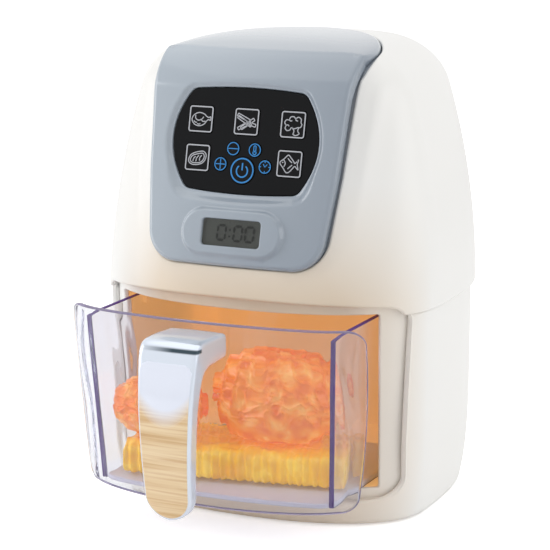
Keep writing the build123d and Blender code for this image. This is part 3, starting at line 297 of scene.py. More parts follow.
def triangulate(loops, step, extra=()):
    """Points and triangles within the loops: their own points, extra ones, and a grid of the given step."""
    lo, hi = loops[0].min(axis=0) + step / 2, loops[0].max(axis=0)
    us, vs = np.arange(lo[0], hi[0], step), np.arange(lo[1], hi[1], step)
    grid = [(u + (step / 2 if j % 2 else 0), v) for j, v in enumerate(vs) for u in us]
    grid = np.array(grid).reshape(-1, 2)
    fixed = [np.asarray(e, float) for e in extra if len(e)]
    if fixed:
        fixed = np.concatenate(fixed)
        grid = grid[far(grid, fixed, EXTRA_REACH * step)]
        grid = np.concatenate([grid, fixed])
    scale = 1.0 / step
    grid = grid[within(grid, loops)]
    for loop in loops:
        grid = grid[distance(grid * scale, loop * scale) > LOOP_REACH]
    points, edges = [], []
    for loop in loops:
        start = len(points)
        points += list(loop)
        edges += [(start + i, start + (i + 1) % len(loop)) for i in range(len(loop))]
    points = np.concatenate([np.array(points), grid])
    _, _, made, origins, *_ = delaunay_2d_cdt([Vector(p) for p in points * scale], edges, [], 0, 1e-7)
    index = [o[0] if o else -1 for o in origins]
    tris = np.array([[index[k] for k in face] for face in made])
    tris = tris[(tris >= 0).all(axis=1)]
    tris = tris[within(points[tris].mean(axis=1), loops)]
    a, b, c = points[tris[:, 0]], points[tris[:, 1]], points[tris[:, 2]]
    flip = (b - a)[:, 0] * (c - a)[:, 1] - (b - a)[:, 1] * (c - a)[:, 0] < 0
    tris[flip] = tris[flip][:, ::-1]
    return points, tris


def far(points, others, reach):
    """Which points have no other point within reach."""
    cells = {}
    for p in others:
        cells.setdefault((int(p[0] // reach), int(p[1] // reach)), []).append(p)
    keep = np.ones(len(points), bool)
    for i, p in enumerate(points):
        cu, cv = int(p[0] // reach), int(p[1] // reach)
        near = (q for a in (-1, 0, 1) for b in (-1, 0, 1) for q in cells.get((cu + a, cv + b), ()))
        keep[i] = all((p[0] - q[0]) ** 2 + (p[1] - q[1]) ** 2 > reach * reach for q in near)
    return keep


def slopes(surface, uv, h=0.05):
    """Unit normals of a surface at points of its domain, by differences."""
    du, dv = np.array([h, 0.0]), np.array([0.0, h])
    su = surface(uv + du) - surface(uv - du)
    sv = surface(uv + dv) - surface(uv - dv)
    return unit(np.cross(su, sv))


def shell(front, loops, step, depth, r, back=None, extra=(), h=0.05):
    """Closed thin solid: a front surface, a back one behind it, and rounded rims round every outline.

    front takes rows of (u, v) and gives points. back does too, or else lies depth behind front. The rims
    stand r outside the outlines, or r[k] outside outline k, and h is the step that slopes are taken over.
    Gives points, faces and normals.
    """
    uv, tris = triangulate(loops, step, extra)
    radii = [r] * len(loops) if np.isscalar(r) else r
    top = front(uv)
    n_top = slopes(front, uv, h)
    if back is None:
        thickness = depth(uv)[:, None] if callable(depth) else depth
        low, n_low = top - n_top * thickness, -n_top
    else:
        low, n_low = back(uv), -slopes(back, uv, h)
    count = len(uv)
    verts, normals = [top, low], [n_top, n_low]
    faces = list(tris) + [f[::-1] + count for f in tris]
    total, start = 2 * count, 0
    for k, (loop, r) in enumerate(zip(loops, radii)):
        n = len(loop)
        ids = np.arange(start, start + n)
        p, q = top[ids], low[ids]
        tangent = unit(np.roll(p, -1, axis=0) - np.roll(p, 1, axis=0))
        outward = winding(loop) * (1 if k == 0 else -1)
        out = unit(np.cross(tangent, n_top[ids])) * outward
        across = q - p
        down = across / np.maximum(np.linalg.norm(across, axis=1, keepdims=True), 1e-9)
        rings, ring_normals = [], []
        for edge, a0, sign in ((p, 0, 1), (q, pi / 2, -1)) if r else ():
            angles = np.linspace(a0, a0 + pi / 2, ROUND_STEPS + 1)
            for a in angles[1:] if sign > 0 else angles[:-1]:
                rings.append(edge + out * r * sin(a) + sign * (down * r * (1 - sign * cos(a))))
                ring_normals.append(unit(-down * cos(a) + out * sin(a)))
        chain = [ids] + [total + n * i + np.arange(n) for i in range(len(rings))] + [ids + count]
        for a, b in zip(chain, chain[1:]):
            for i in range(n):
                j = (i + 1) % n
                quad = (a[i], a[j], b[j], b[i])
                faces.append(np.array(quad[::-1] if outward > 0 else quad))
        verts += rings
        normals += ring_normals
        total += n * len(rings)
        start += n
    return np.concatenate(verts), faces, np.concatenate(normals)


def join(*solids):
    """Several (points, faces, normals) as one."""
    verts, faces, normals, start = [], [], [], 0
    for v, f, n in solids:
        verts.append(v)
        faces += [tuple(np.asarray(x) + start) for x in f]
        normals.append(n)
        start += len(v)
    return np.concatenate(verts), faces, np.concatenate(normals)


# Casing surfaces. Their domain is a flat ring: its angle is the plan angle, and it shrinks upward.

RING_UPPER, RING_LOWER = 180.0, 182.0
BASE_ROWS, BASE_END = (-6.0, -4.0, -2.0, 0.0, 0.9), 2.0
SHOULDER_LOW = SHOULDER_Z - PART_Z
SHOULDER_TURN = SHOULDER_R * pi / 2
RIDGE_OFFSET, RIDGE_HEIGHT, RIDGE_WIDTH = 9.4, 1.0, 3.0
RIDGE_START_Z, RIDGE_BACK_Y, RIDGE_WAY = 118, -20, np.array([0.0, -1.0, 0.15])
RIDGE_START_RUN, RIDGE_TOP_RUN, RIDGE_BACK_RUN = 45, 14, 16


def casing_sizes(z, draw):
    """Half width, front and back of the upper casing's plan outline."""
    t2 = (np.maximum(z - PART_Z, 0) / (TOP_Z - PART_Z)) ** 2
    lean = LEAN_FRONT * np.maximum(z - LEAN_START, 0)
    return HALF_W - TAPER_W * t2 - draw, FRONT_D - lean - draw, BACK_D - TAPER_BACK * t2 - draw


def tub_sizes(z, draw):
    """Half width, front and back of the lower casing's plan outline."""
    grow = (np.maximum(PART_Z - z, 0) / PART_Z) ** BASE_GROW
    return (HALF_W - LIP_STEP - BASE_W * grow - draw, FRONT_D - LIP_STEP - BASE_FRONT * grow - draw,
            BACK_D - LIP_STEP - BASE_W * grow - draw)


def plan(angle, sizes, z):
    """Points on a plan outline that is rounder in front and squarer at the back."""
    c, s = np.cos(angle), np.sin(angle)
    power = np.where(s < 0, FRONT_POWER, BACK_POWER)
    depth = np.where(s < 0, sizes[1], sizes[2])
    r = (np.abs(c) ** power + np.abs(s) ** power) ** (-1 / power)
    return columns(sizes[0] * r * c, WIDEST_Y + depth * r * s, z)


def angle_at(x, sizes, back=False):
    """Plan angle of the point of an outline's front, or back, that has the given x."""
    power = BACK_POWER if back else FRONT_POWER
    q = min(abs(x) / sizes[0], 1.0)
    rise = (1 - q**power) ** (1 / power)
    return float(np.arctan2(rise if back else -rise, x / sizes[0]))


def upper_rise(v):
    """Height and draw-in of the upper casing at a distance up its side."""
    a = np.clip((v - SHOULDER_LOW) / SHOULDER_R, 0, pi / 2)
    over = np.maximum(v - SHOULDER_LOW - SHOULDER_TURN, 0)
    z = PART_Z + np.minimum(v, SHOULDER_LOW) + SHOULDER_R * np.sin(a)
    z = z + DOME * (1 - (1 - np.minimum(over, DOME_REACH) / DOME_REACH) ** 2)
    return z, SHOULDER_R * (1 - np.cos(a)) + over


def lower_rise(v):
    """Height and draw-in of the lower casing at a distance up its side, 0 at the top of the base rounding."""
    a = np.clip(-v / BASE_R, 0, pi / 2)
    return np.where(v > 0, BASE_R + v, BASE_R - BASE_R * np.sin(a)), BASE_R * (1 - np.cos(a))


def ring(angle, rho):
    return np.array([rho * cos(angle), rho * sin(angle)])


def panel_half(z):
    """Half width of the control panel's outline at height z."""
    heights = [PANEL_BOTTOM_Z, PANEL_LOW_SIDE[1], PANEL_HIGH_SIDE[1], CREASE_Z]
    return np.interp(z, heights, [PANEL_BOTTOM_W, PANEL_LOW_SIDE[0], PANEL_HIGH_SIDE[0], CREASE_W])


def upper_surface(uv):
    """Upper casing, with a soft ridge that runs down beside the control panel."""
    u, v = uv.T
    z, draw = upper_rise(RING_UPPER - np.hypot(u, v))
    points = plan(np.arctan2(v, u), casing_sizes(z, draw), z)
    x, y, _ = points.T
    fade = smooth((z - RIDGE_START_Z) / RIDGE_START_RUN) * np.clip((TOP_Z + 1 - z) / RIDGE_TOP_RUN, 0, 1)
    front = np.clip((RIDGE_BACK_Y - y) / RIDGE_BACK_RUN, 0, 1)
    off = (np.abs(x) - panel_half(z) - RIDGE_OFFSET) / RIDGE_WIDTH
    bump = RIDGE_HEIGHT * fade * front * np.exp(-off * off)
    return points + bump[:, None] * RIDGE_WAY


def lower_surface(uv):
    u, v = uv.T
    z, draw = lower_rise(RING_LOWER - np.hypot(u, v))
    return plan(np.arctan2(v, u), tub_sizes(z, draw), z)


def on_upper(x, z, back=False):
    """Domain point of the upper casing's side at a given x and z, below its shoulder."""
    draw = SHOULDER_R - sqrt(max(SHOULDER_R**2 - max(z - SHOULDER_Z, 0) ** 2, 0))
    v = z - PART_Z
    if z > SHOULDER_Z:
        v = SHOULDER_LOW + SHOULDER_R * np.arcsin(min((z - SHOULDER_Z) / SHOULDER_R, 1))
    return ring(angle_at(x, casing_sizes(z, draw), back), RING_UPPER - v)


def on_upper_top(x, y):
    """Domain point of the upper casing's shoulder or top, seen from above at a given x and y."""
    low, high = SHOULDER_LOW - 20, SHOULDER_LOW + SHOULDER_TURN + 30
    power = FRONT_POWER if y < WIDEST_Y else BACK_POWER
    for _ in range(40):
        v = (low + high) / 2
        z, draw = upper_rise(v)
        w, front, back = casing_sizes(z, draw)
        depth = front if y < WIDEST_Y else back
        out = w <= 0 or depth <= 0 or (abs(x) / w) ** power + (abs(y - WIDEST_Y) / depth) ** power > 1
        low, high = (low, v) if out else (v, high)
    return ring(float(np.arctan2((y - WIDEST_Y) / depth, x / w)), RING_UPPER - v)


def on_back(place, loop):
    """Outline in (x, z) on a casing's back, in its domain."""
    return np.array([place(x, z, True) for x, z in loop])


def on_lower(x, z, back=False):
    """Domain point of the lower casing's side at a given x and z."""
    return ring(angle_at(x, tub_sizes(z, 0.0), back), RING_LOWER - (z - BASE_R))


def arch_outline(grow=0.0):
    """Arched recess in (x, z), anticlockwise from its lower left corner."""
    low, top = ARCH_BOTTOM_Z - grow, ARCH_TOP_Z + grow
    wide, narrow = ARCH_TOP_W + grow, ARCH_BOTTOM_W + grow
    crown = [(x, top - ARCH_SAG * (x / wide) ** 2) for x in np.linspace(ARCH_CROWN_W, -ARCH_CROWN_W, 30)]
    base = [(x, low + ARCH_RISE * (x / narrow) ** 2) for x in np.linspace(-ARCH_BASE_W, ARCH_BASE_W, 20)]
    right = [(narrow, low + ARCH_RISE), (wide, top - ARCH_SAG)]
    corners = base + right + crown + [(-x, z) for x, z in right[::-1]]
    turns = [ARCH_BOTTOM_R + grow, ARCH_TOP_R]
    radii = [0] * len(base) + turns + [0] * len(crown) + turns[::-1]
    return rounded(corners, radii, 12)


def arch_parts(grow, z_cut):
    """The arch's outline above a height, from right to left, and below it, from left to right."""
    loop = spread(arch_outline(grow), 2.0)
    above = [p for p in loop if p[1] > z_cut]
    below = [p for p in loop if p[1] <= z_cut]
    above.sort(key=lambda p: -p[0])
    below.sort(key=lambda p: -np.arctan2(p[0], p[1] - z_cut - 1e-3) % (2 * pi))
    (x0, z0), (x1, z1) = above[0], below[-1]
    edge = x0 + (x1 - x0) * (z0 - z_cut) / (z0 - z1)
    right, left = np.array((edge, z_cut)), np.array((-edge, z_cut))
    return [right] + above + [left], [left] + below + [right]


def around_back(right, place):
    """Domain points from a plan angle at the right, round the back, to its mirror angle at the left."""
    left = -pi - right
    count = int((2 * pi - (right - left)) * AROUND / EDGE_STEP)
    return [place(a) for a in np.linspace(right, left + 2 * pi, count)[1:-1]]


def curved_front(x, w, depth):
    """Front of a plan outline at a given x."""
    q = np.minimum(np.abs(x) / w, 0.999)
    return WIDEST_Y - depth * (1 - q**FRONT_POWER) ** (1 / FRONT_POWER)


def land_y(x, z):
    """Floor of the arched recess."""
    return curved_front(x, LAND_W, FRONT_D - LIP_STEP - LAND_DEPTH - LAND_LEAN * (PART_Z - z))


def opening_outline(grow=0.0):
    """Drawer's opening in (x, z)."""
    low, top = OPEN_BOTTOM_Z - grow, OPEN_TOP_Z + grow
    return rounded([(-OPEN_BOTTOM_W - grow, low), (OPEN_BOTTOM_W + grow, low), (OPEN_TOP_W + grow, top),
                    (-OPEN_TOP_W - grow, top)], OPEN_R + grow, 4)


def slot_outlines():
    """Speaker grille's slots in (x, z)."""
    outlines = []
    for i in range(GRILLE_SLOTS):
        offset = (i - (GRILLE_SLOTS - 1) / 2) * GRILLE_PITCH
        half = sqrt((SPEAKER_R - SPEAKER_EDGE) ** 2 - offset**2)
        w, h = 2 * half + 2 * SLOT_EDGE_R, GRILLE_H + 2 * SLOT_EDGE_R
        outlines.append(spread(rectangle(w, h, SLOT_R, 0, SPEAKER_Z + offset), 2.0))
    return outlines


def panel_front_outline(inset=0.0):
    """Right half of the panel's front outline in (x, z), from the bottom middle to above the crease."""
    low = PANEL_BOTTOM_Z + inset
    sides = [(w - inset, z) for w, z in (PANEL_LOW_SIDE, PANEL_HIGH_SIDE, (CREASE_W, CREASE_Z))]
    over = CREASE_Z + PANEL_OVER
    corners = [(0, low), (PANEL_BOTTOM_W - inset, low)] + sides + [(CREASE_W - inset, over), (0, over)]
    radii = [0, PANEL_CORNER_R - inset, PANEL_SIDE_R, PANEL_SIDE_R, PANEL_CREASE_R, 0, 0]
    half = [p for p in rounded(corners, radii, 16) if p[1] < CREASE_Z + PANEL_CUT]
    return spread(np.array(half), PANEL_EDGE_STEP, closed=False)


def panel_top_outline(inset=0.0):
    """Right half of its top outline in (x, y), from the crease round to the back middle."""
    w, depth, power = PANEL_TOP_W - inset, PANEL_TOP_D - inset, PANEL_TOP_POWER
    rise, bow = [], []
    for t in np.linspace(0, 1, 14)[:-1]:
        x = CREASE_W - inset + (PANEL_TOP_W - CREASE_W) * sin(t * pi / 2)
        rise.append((x, CREASE_Y + t * (PANEL_TOP_W_Y - CREASE_Y)))
    for a in np.linspace(0, pi / 2, 60):
        r = (cos(a) ** power + sin(a) ** power) ** (-1 / power)
        bow.append((w * r * cos(a), PANEL_TOP_W_Y + depth * r * sin(a)))
    return np.array(rise + bow)


def with_mirror(half):
    """Closed outline from its right half."""
    return np.concatenate([half, half[1:-1][::-1] * np.array([-1.0, 1.0])])


def panel_opening(inset):
    """The control panel's outline in the upper casing's domain."""
    rising = [on_upper(x, z) for x, z in panel_front_outline(inset) if z < CREASE_Z - OPENING_BELOW]
    over = [on_upper_top(x, y) for x, y in panel_top_outline(inset) if y > CREASE_Y + OPENING_BEHIND]
    return with_mirror(np.array(rising + over))


def volume(verts, faces):
    """Signed volume of a closed solid."""
    total = 0.0
    for face in faces:
        a = verts[face[0]]
        for i, j in zip(face[1:-1], face[2:]):
            total += np.dot(a, np.cross(verts[i], verts[j]))
    return total / 6


def rings_solid(rings, closed=False):
    """Solid swept through rings of points, its ends capped, or joined up where it is closed."""
    n = len(rings[0])
    verts = np.concatenate(rings)
    faces = []
    count = len(rings) if closed else len(rings) - 1
    for k in range(count):
        a, b = k * n, (k + 1) % len(rings) * n
        faces += [(a + i, a + (i + 1) % n, b + (i + 1) % n, b + i) for i in range(n)]
    if not closed:
        faces += [tuple(range(n))[::-1], tuple(range(len(verts) - n, len(verts)))]
    if volume(verts, faces) < 0:
        faces = [f[::-1] for f in faces]
    return verts, faces


# Materials

def rgb(r, g, b):
    """Shader colour from screen values of 0 to 255."""
    return tuple(((c / 255 + 0.055) / 1.055) ** 2.4 for c in (r, g, b)) + (1.0,)


WHITE = rgb(255, 255, 255)


def new_material(name):
    """Material with its node tree and its principled surface's inputs."""
    made = bpy.data.materials.new(name)
    made.use_nodes = True
    return made, made.node_tree, made.node_tree.nodes["Principled BSDF"].inputs


def feed(tree, inputs, values):
    """Link inputs to sockets, or give them plain values."""
    for key, value in values.items():
        if isinstance(value, bpy.types.NodeSocket):
            tree.links.new(value, inputs[key])
        else:
            inputs[key].default_value = value


def add_node(tree, kind, values=(), output=0, **settings):
    """New shader node with its settings and input values. Gives one of its outputs."""
    made = tree.nodes.new("ShaderNode" + kind)
    for key, value in settings.items():
        setattr(made, key, value)
    feed(tree, made.inputs, dict(values))
    return made.outputs[output]


def math_node(tree, operation, *values):
    return add_node(tree, "Math", enumerate(values), operation=operation)


def mix_node(tree, factor, first, second, blend="MIX"):
    """Colour between two others."""
    values = {"Factor": factor, "A": first, "B": second}
    return add_node(tree, "Mix", values, "Result", data_type="RGBA", blend_type=blend)


def noise_node(tree, size, detail=3.0, stretch=(1, 1, 1)):
    """Noise over the object's own coordinates, size given in features per metre."""
    place = add_node(tree, "TexCoord", output="Object")
    scaled = add_node(tree, "Mapping", {"Vector": place, "Scale": stretch})
    return add_node(tree, "TexNoise", {"Vector": scaled, "Scale": size, "Detail": detail}, "Fac")


def ramp_node(tree, source, stops):
    """Colour ramp through (position, colour) stops."""
    made = tree.nodes.new("ShaderNodeValToRGB")
    while len(made.color_ramp.elements) < len(stops):
        made.color_ramp.elements.new(0.5)
    for element, (at, colour) in zip(made.color_ramp.elements, stops):
        element.position = at
        element.color = colour
    feed(tree, made.inputs, {"Fac": source})
    return made.outputs["Color"]


def range_node(tree, source, low, high, start=0.0, end=1.0):
    """Value that runs from low to high while the source runs from start to end."""
    values = {"Value": source, "From Min": start, "From Max": end, "To Min": low, "To Max": high}
    return add_node(tree, "MapRange", values, "Result")


def bump_node(tree, source, strength, depth):
    return add_node(tree, "Bump", {"Height": source, "Strength": strength, "Distance": depth}, "Normal")


def axes_node(tree):
    """The object's own X, Y and Z."""
    split = tree.nodes.new("ShaderNodeSeparateXYZ")
    feed(tree, split.inputs, {"Vector": add_node(tree, "TexCoord", output="Object")})
    return split.outputs


def replace_surface(made, shader):
    """Put another shader in the principled one's place."""
    tree = made.node_tree
    tree.nodes.remove(tree.nodes["Principled BSDF"])
    feed(tree, tree.nodes["Material Output"].inputs, {"Surface": shader})
    return made


def principled(name, colour, rough, spread_rough=0.04, size=700, bump=0.05, depth=4e-5, **values):
    """Principled material whose roughness and surface vary finely."""
    made, tree, surface = new_material(name)
    grain = noise_node(tree, size)
    values["Base_Color"] = colour
    values["Roughness"] = range_node(tree, grain, rough - spread_rough, rough + spread_rough)
    values["Normal"] = bump_node(tree, grain, bump, depth)
    feed(tree, surface, {key.replace("_", " "): value for key, value in values.items()})
    return made


CLEAR_IOR = 1.3


def clear_material(name, colour, density, tint, share):
    """Clear plastic: absorbs inside, lets lamp light through, and is tinted by a share."""
    made, tree, _ = new_material(name)
    wave = bump_node(tree, noise_node(tree, 90, 2.0, (1.6, 1.0, 0.35)), 0.25, 4e-4)
    glass = add_node(tree, "BsdfGlass", {"IOR": CLEAR_IOR, "Roughness": 0.0, "Normal": wave})
    stain = add_node(tree, "BsdfDiffuse", {"Color": tint})
    body = add_node(tree, "MixShader", {0: share, 1: glass, 2: stain})
    through = add_node(tree, "BsdfTransparent", {"Color": rgb(240, 238, 246)})
    shadow = add_node(tree, "LightPath", output="Is Shadow Ray")
    inside_it = add_node(tree, "VolumeAbsorption", {"Color": colour, "Density": density})
    feed(tree, tree.nodes["Material Output"].inputs, {"Volume": inside_it})
    return replace_surface(made, add_node(tree, "MixShader", {0: shadow, 1: body, 2: through}))


def window_material():
    """Thin clear window: what lies behind shows through, with a faint reflection."""
    made, tree, _ = new_material("display_window")
    grain = bump_node(tree, noise_node(tree, 400), 0.05, 2e-5)
    gloss = add_node(tree, "BsdfGlossy", {"Roughness": 0.04, "Normal": grain})
    through = add_node(tree, "BsdfTransparent", {"Color": rgb(236, 238, 236)})
    angle = add_node(tree, "Fresnel", {"IOR": 1.35})
    return replace_surface(made, add_node(tree, "MixShader", {0: angle, 1: through, 2: gloss}))


WOOD_FADE_LOW, WOOD_FADE_HIGH, WOOD_FADE_BOW = 0.0575, 0.0655, -55.0


def painted_wood_reflection_material():
    """Painted reflection of a wooden table on the plated handle's face: level grain that fades into bright
    lilac plating at the top.
    """
    made, tree, surface = new_material("wood_effect")
    broad = noise_node(tree, 60, 3.0, (0.16, 0.3, 4.2))
    fine = noise_node(tree, 260, 4.0, (0.10, 0.3, 4.0))
    # Painted reflection: the colours of a wooden table's grain.
    base = ramp_node(tree, broad, [(0.30, rgb(214, 178, 128)), (0.46, rgb(232, 204, 162)),
                                   (0.58, rgb(240, 216, 178)), (0.72, rgb(220, 186, 138))])
    streak = ramp_node(tree, fine, [(0.36, rgb(210, 174, 130)), (0.52, WHITE)])
    wood = mix_node(tree, 0.35, base, streak, "MULTIPLY")
    axes = axes_node(tree)
    bow = math_node(tree, "POWER", axes["X"], 2.0)
    height = math_node(tree, "MULTIPLY_ADD", bow, WOOD_FADE_BOW, axes["Z"])
    fade = range_node(tree, height, 0.0, 1.0, WOOD_FADE_LOW, WOOD_FADE_HIGH)
    feed(tree, surface, {
        "Base Color": mix_node(tree, fade, wood, rgb(232, 237, 250)),
        "Metallic": range_node(tree, fade, 0.0, 0.2),
        "Roughness": range_node(tree, fade, 0.30, 0.12),
        "Normal": bump_node(tree, fine, 0.03, 5e-5),
    })
    return made


FOOD_GLOW = 0.16


def food_material(name, low, mid, high, size, bump):
    """Moulded play food: colour and gloss vary in blotches, and it glows faintly in its mid colour as painted
    light.
    """
    made, tree, surface = new_material(name)
    blotch = noise_node(tree, size, 4.0)
    feed(tree, surface, {
        "Base Color": ramp_node(tree, blotch, [(0.32, low), (0.5, mid), (0.68, high)]),
        "Roughness": range_node(tree, blotch, 0.18, 0.34),
        # Painted light: the food glows faintly in its own mid colour, though it is no lamp.
        "Emission Color": mid,
        "Emission Strength": FOOD_GLOW,
        "Normal": bump_node(tree, noise_node(tree, size * 9), bump, 2e-4),
    })
    return made


def place_mix(made, near, far, ranges):
    """Mix two colours by where a point is: each range is (axis, metres for near, metres for far)."""
    tree, factor = made.node_tree, None
    axes = axes_node(tree)
    for axis, start, end in ranges:
        step = range_node(tree, axes[axis], 0.0, 1.0, start, end)
        factor = math_node(tree, "MULTIPLY", factor, step) if factor else step
    feed(tree, tree.nodes["Principled BSDF"].inputs, {"Base Color": mix_node(tree, factor, near, far)})
    return made


def cream_material():
    """Satin cream plastic, with painted shade and a painted reflection of the bay's colour: darker and warmer
    low on its front.
    """
    cream = rgb(241, 240, 237)
    made = principled("cream_plastic", cream, 0.36, Coat_Weight=0.15, Coat_Roughness=0.25)
    # Painted shade and painted bay reflection: a darker, warmer cream low on the front.
    painted_shade_low_front = [("Z", 0.150, 0.100), ("Y", -0.030, -0.064), ("X", -0.064, -0.034)]
    return place_mix(made, cream, rgb(226, 208, 184), painted_shade_low_front)


def panel_material():
    """Glossy grey-blue plastic, with painted shade that makes it a little darker towards its right."""
    left = rgb(170, 180, 190)
    made = principled("panel_plastic", left, 0.16, 0.02, Coat_Weight=0.6, Coat_Roughness=0.05)
    # Painted shade: the colour darkens towards the panel's right.
    return place_mix(made, left, rgb(142, 152, 164), [("X", -0.045, 0.045)])


def chrome_material():
    """Bright plating, with a painted dark reflection along the crown's front edge."""
    bright = rgb(222, 230, 242)
    made = principled("handle_chrome", bright, 0.14, 0.03, bump=0.02, Metallic=0.38)
    # Painted reflection: a dark band along the crown's front edge.
    edge = [("Z", 0.0884, 0.0890), ("Z", 0.0906, 0.0900), ("Y", -0.1215, -0.1225), ("X", -0.014, 0.002)]
    return place_mix(made, bright, rgb(52, 70, 80), edge)


looks = {
    "cream_plastic": cream_material(),
    # Painted light: the bay plastic glows warm, though it is no lamp, to brighten the drawer bay.
    "bay_plastic": principled("bay_plastic", rgb(232, 192, 132), 0.42, size=300, bump=0.1, depth=1e-4,
                              Emission_Color=rgb(234, 186, 122), Emission_Strength=0.40),
    "lamp_lens": principled("lamp_lens", rgb(255, 214, 120), 0.3, Emission_Color=rgb(255, 210, 110),
                            Emission_Strength=0.8),
    "circuit_board": principled("circuit_board", rgb(30, 104, 62), 0.4, size=1500, bump=0.1),
    "panel_plastic": panel_material(),
    "black_plate": principled("black_plate", rgb(16, 17, 19), 0.3, 0.03, Specular_IOR_Level=0.12),
    "display_window": window_material(),
    # Painted light: the display glows faintly in its own grey, though it is no lamp.
    "display": principled("display", rgb(108, 108, 106), 0.5, size=1200, bump=0.03,
                          Emission_Color=rgb(108, 108, 106), Emission_Strength=0.12),
    "silicone": principled("silicone", rgb(222, 222, 216), 0.6),
    "board_parts": principled("board_parts", rgb(50, 50, 52), 0.5),
    "black_plastic": principled("black_plastic", rgb(44, 44, 47), 0.5, bump=0.15),
    "cell_jacket": principled("cell_jacket", rgb(66, 68, 74), 0.3),
    "contact_steel": principled("contact_steel", rgb(200, 200, 196), 0.28, Metallic=1.0),
    "screw_steel": principled("screw_steel", rgb(190, 190, 188), 0.32, Metallic=1.0),
    "clear_plastic": clear_material("clear_plastic", rgb(214, 218, 240), 64.0, rgb(222, 226, 250), 0.04),
    "handle_chrome": chrome_material(),
    "wood_effect": painted_wood_reflection_material(),
    "fries_plastic": food_material("fries_plastic", rgb(240, 170, 18), rgb(250, 196, 32), rgb(255, 216, 68),
                                   110, 0.15),
    "chicken_plastic": food_material("chicken_plastic", rgb(238, 110, 18), rgb(252, 148, 40),
                                     rgb(255, 190, 98), 150, 0.45),
}
rim_purple = clear_material("clear_plastic_rim", rgb(156, 118, 200), 60.0, rgb(108, 76, 148), 0.72)
rim_pale = clear_material("clear_plastic_edge", rgb(196, 182, 228), 40.0, rgb(214, 202, 236), 0.35)
tub_floor = clear_material("clear_plastic_floor", rgb(220, 218, 236), 40.0, rgb(238, 236, 242), 0.68)
silver_print = principled("silver_print", rgb(176, 178, 184), 0.35, Metallic=0.3)
blue_print = principled("blue_print", rgb(38, 132, 202), 0.4)
display_ink = principled("display_ink", rgb(46, 46, 45), 0.5)

slots = {s["node"]: s["material_slot"] for s in frame["record"]["subparts"]}
for name, node in frame["nodes"].items():
    node.data.materials.clear()
    node.data.materials.append(looks[slots[name]])


def add_piece(name, solid, body, node, material=None):
    """Make a piece with its material and body, and let it stand for a CAD node."""
    piece = make_piece(name, *solid)
    piece.data.materials.append(material or looks[slots[node]])
    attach(piece, body)
    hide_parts(node)
    return piece


def add_detail(name, solids, body, material):
    """Make printed detail with its material and body."""
    piece = make_piece(name, *join(*solids))
    piece.data.materials.append(material)
    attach(piece, body)


# Casing pieces

def make_upper_casing():
    """Cream upper shell, open where the control panel sits and over the drawer's recess."""
    r = WALL / 2
    above, _ = arch_parts(r, PART_Z + r)
    front = [on_upper(x, z) for x, z in above]
    right = angle_at(above[0][0], casing_sizes(PART_Z + r, 0.0))
    rest = around_back(right, lambda a: ring(a, RING_UPPER - r))
    outer = np.array(rest + front[::-1])
    opening = panel_opening(-PANEL_GAP - r)
    slits = [on_back(on_upper, slit) for slit in slot_outlines()]
    radii = [r, r] + [SLOT_EDGE_R] * len(slits)
    solid = shell(upper_surface, [outer, opening] + slits, CASING_STEP, WALL, r=radii)
    add_piece("upper_casing_shell", solid, "casing", "upper_casing")


def cover_outline(grow, corner):
    """Outline round the battery cover in the lower casing's domain."""
    loop = rectangle(COVER_W + 2 * grow, COVER_H + 2 * grow, corner, 0, COVER_MIDDLE)
    return on_back(on_lower, spread(loop, OUTLINE_STEP))


def make_lower_casing():
    """Cream lower shell, open above, at the arched recess and at the battery hatch."""
    r = WALL / 2
    _, below = arch_parts(r, PART_Z - r)
    front = [on_lower(x, z) for x, z in below]
    right = angle_at(below[-1][0], tub_sizes(PART_Z - r, 0.0))
    rest = around_back(right, lambda a: ring(a, RING_LOWER - (PART_Z - r - BASE_R)))
    base = circle(RING_LOWER + BASE_END, count=360)
    rows = [circle(RING_LOWER + k, count=300) for k in BASE_ROWS]
    loops = [base, np.array(rest + front), cover_outline(HATCH_GROW, COVER_R + HATCH_GROW)]
    solid = shell(lower_surface, loops, CASING_STEP, WALL, r=[r, r, COVER_EDGE_R], extra=rows)
    add_piece("lower_casing_shell", solid, "casing", "lower_casing")


def on_land(uv):
    x, z = uv.T
    return columns(x, land_y(x, z), z)


def skin_y(points):
    """Front of the casing's skin at rows of (x, z)."""
    x, z = points.T
    upper, lower = casing_sizes(z, 0.0), tub_sizes(z, 0.0)
    low = z < PART_Z
    return curved_front(x, np.where(low, lower[0], upper[0]), np.where(low, lower[1], upper[1]))


def make_recess():
    """Floor of the arched recess, and the step round it."""
    loops = [spread(loop, OUTLINE_STEP) for loop in (arch_outline(LAND_UNDER), opening_outline(OPEN_EDGE_R))]
    floor = shell(on_land, loops, LAND_STEP, LAND_WALL, r=[LAND_EDGE_R, OPEN_EDGE_R])
    add_piece("recess_floor", floor, "casing", "lower_casing")
    inner = spread(arch_outline(0.0), OUTLINE_STEP)
    outer = shrink(inner, -STEP_WALL)
    front = skin_y(inner) + np.where(inner[:, 1] < PART_Z, *STEP_BEHIND_SKIN)
    back = land_y(*inner.T) + STEP_IN_LAND
    rings = []
    for loop, y in ((inner, front), (inner, back), (outer, back), (outer, front)):
        rings.append(columns(loop[:, 0], y, loop[:, 1]))
    add_piece("recess_step", rings_solid(rings, closed=True), "casing", "lower_casing")


def make_battery_cover():
    """Battery cover with the hole for its screw."""
    hole = on_back(on_lower, circle(COVER_HOLE_R, 0.0, COVER_SCREW_Z, 24))
    loops = [cover_outline(-COVER_EDGE_R, COVER_R), hole]
    solid = shell(lower_surface, loops, CASING_STEP, COVER_T, r=[COVER_EDGE_R, COVER_HOLE_EDGE_R])
    add_piece("battery_cover_plate", solid, "casing", "battery_cover")


# Control panel. Its domain is (x, s): s is 0 at the crease, below it on the front and above it on the top.

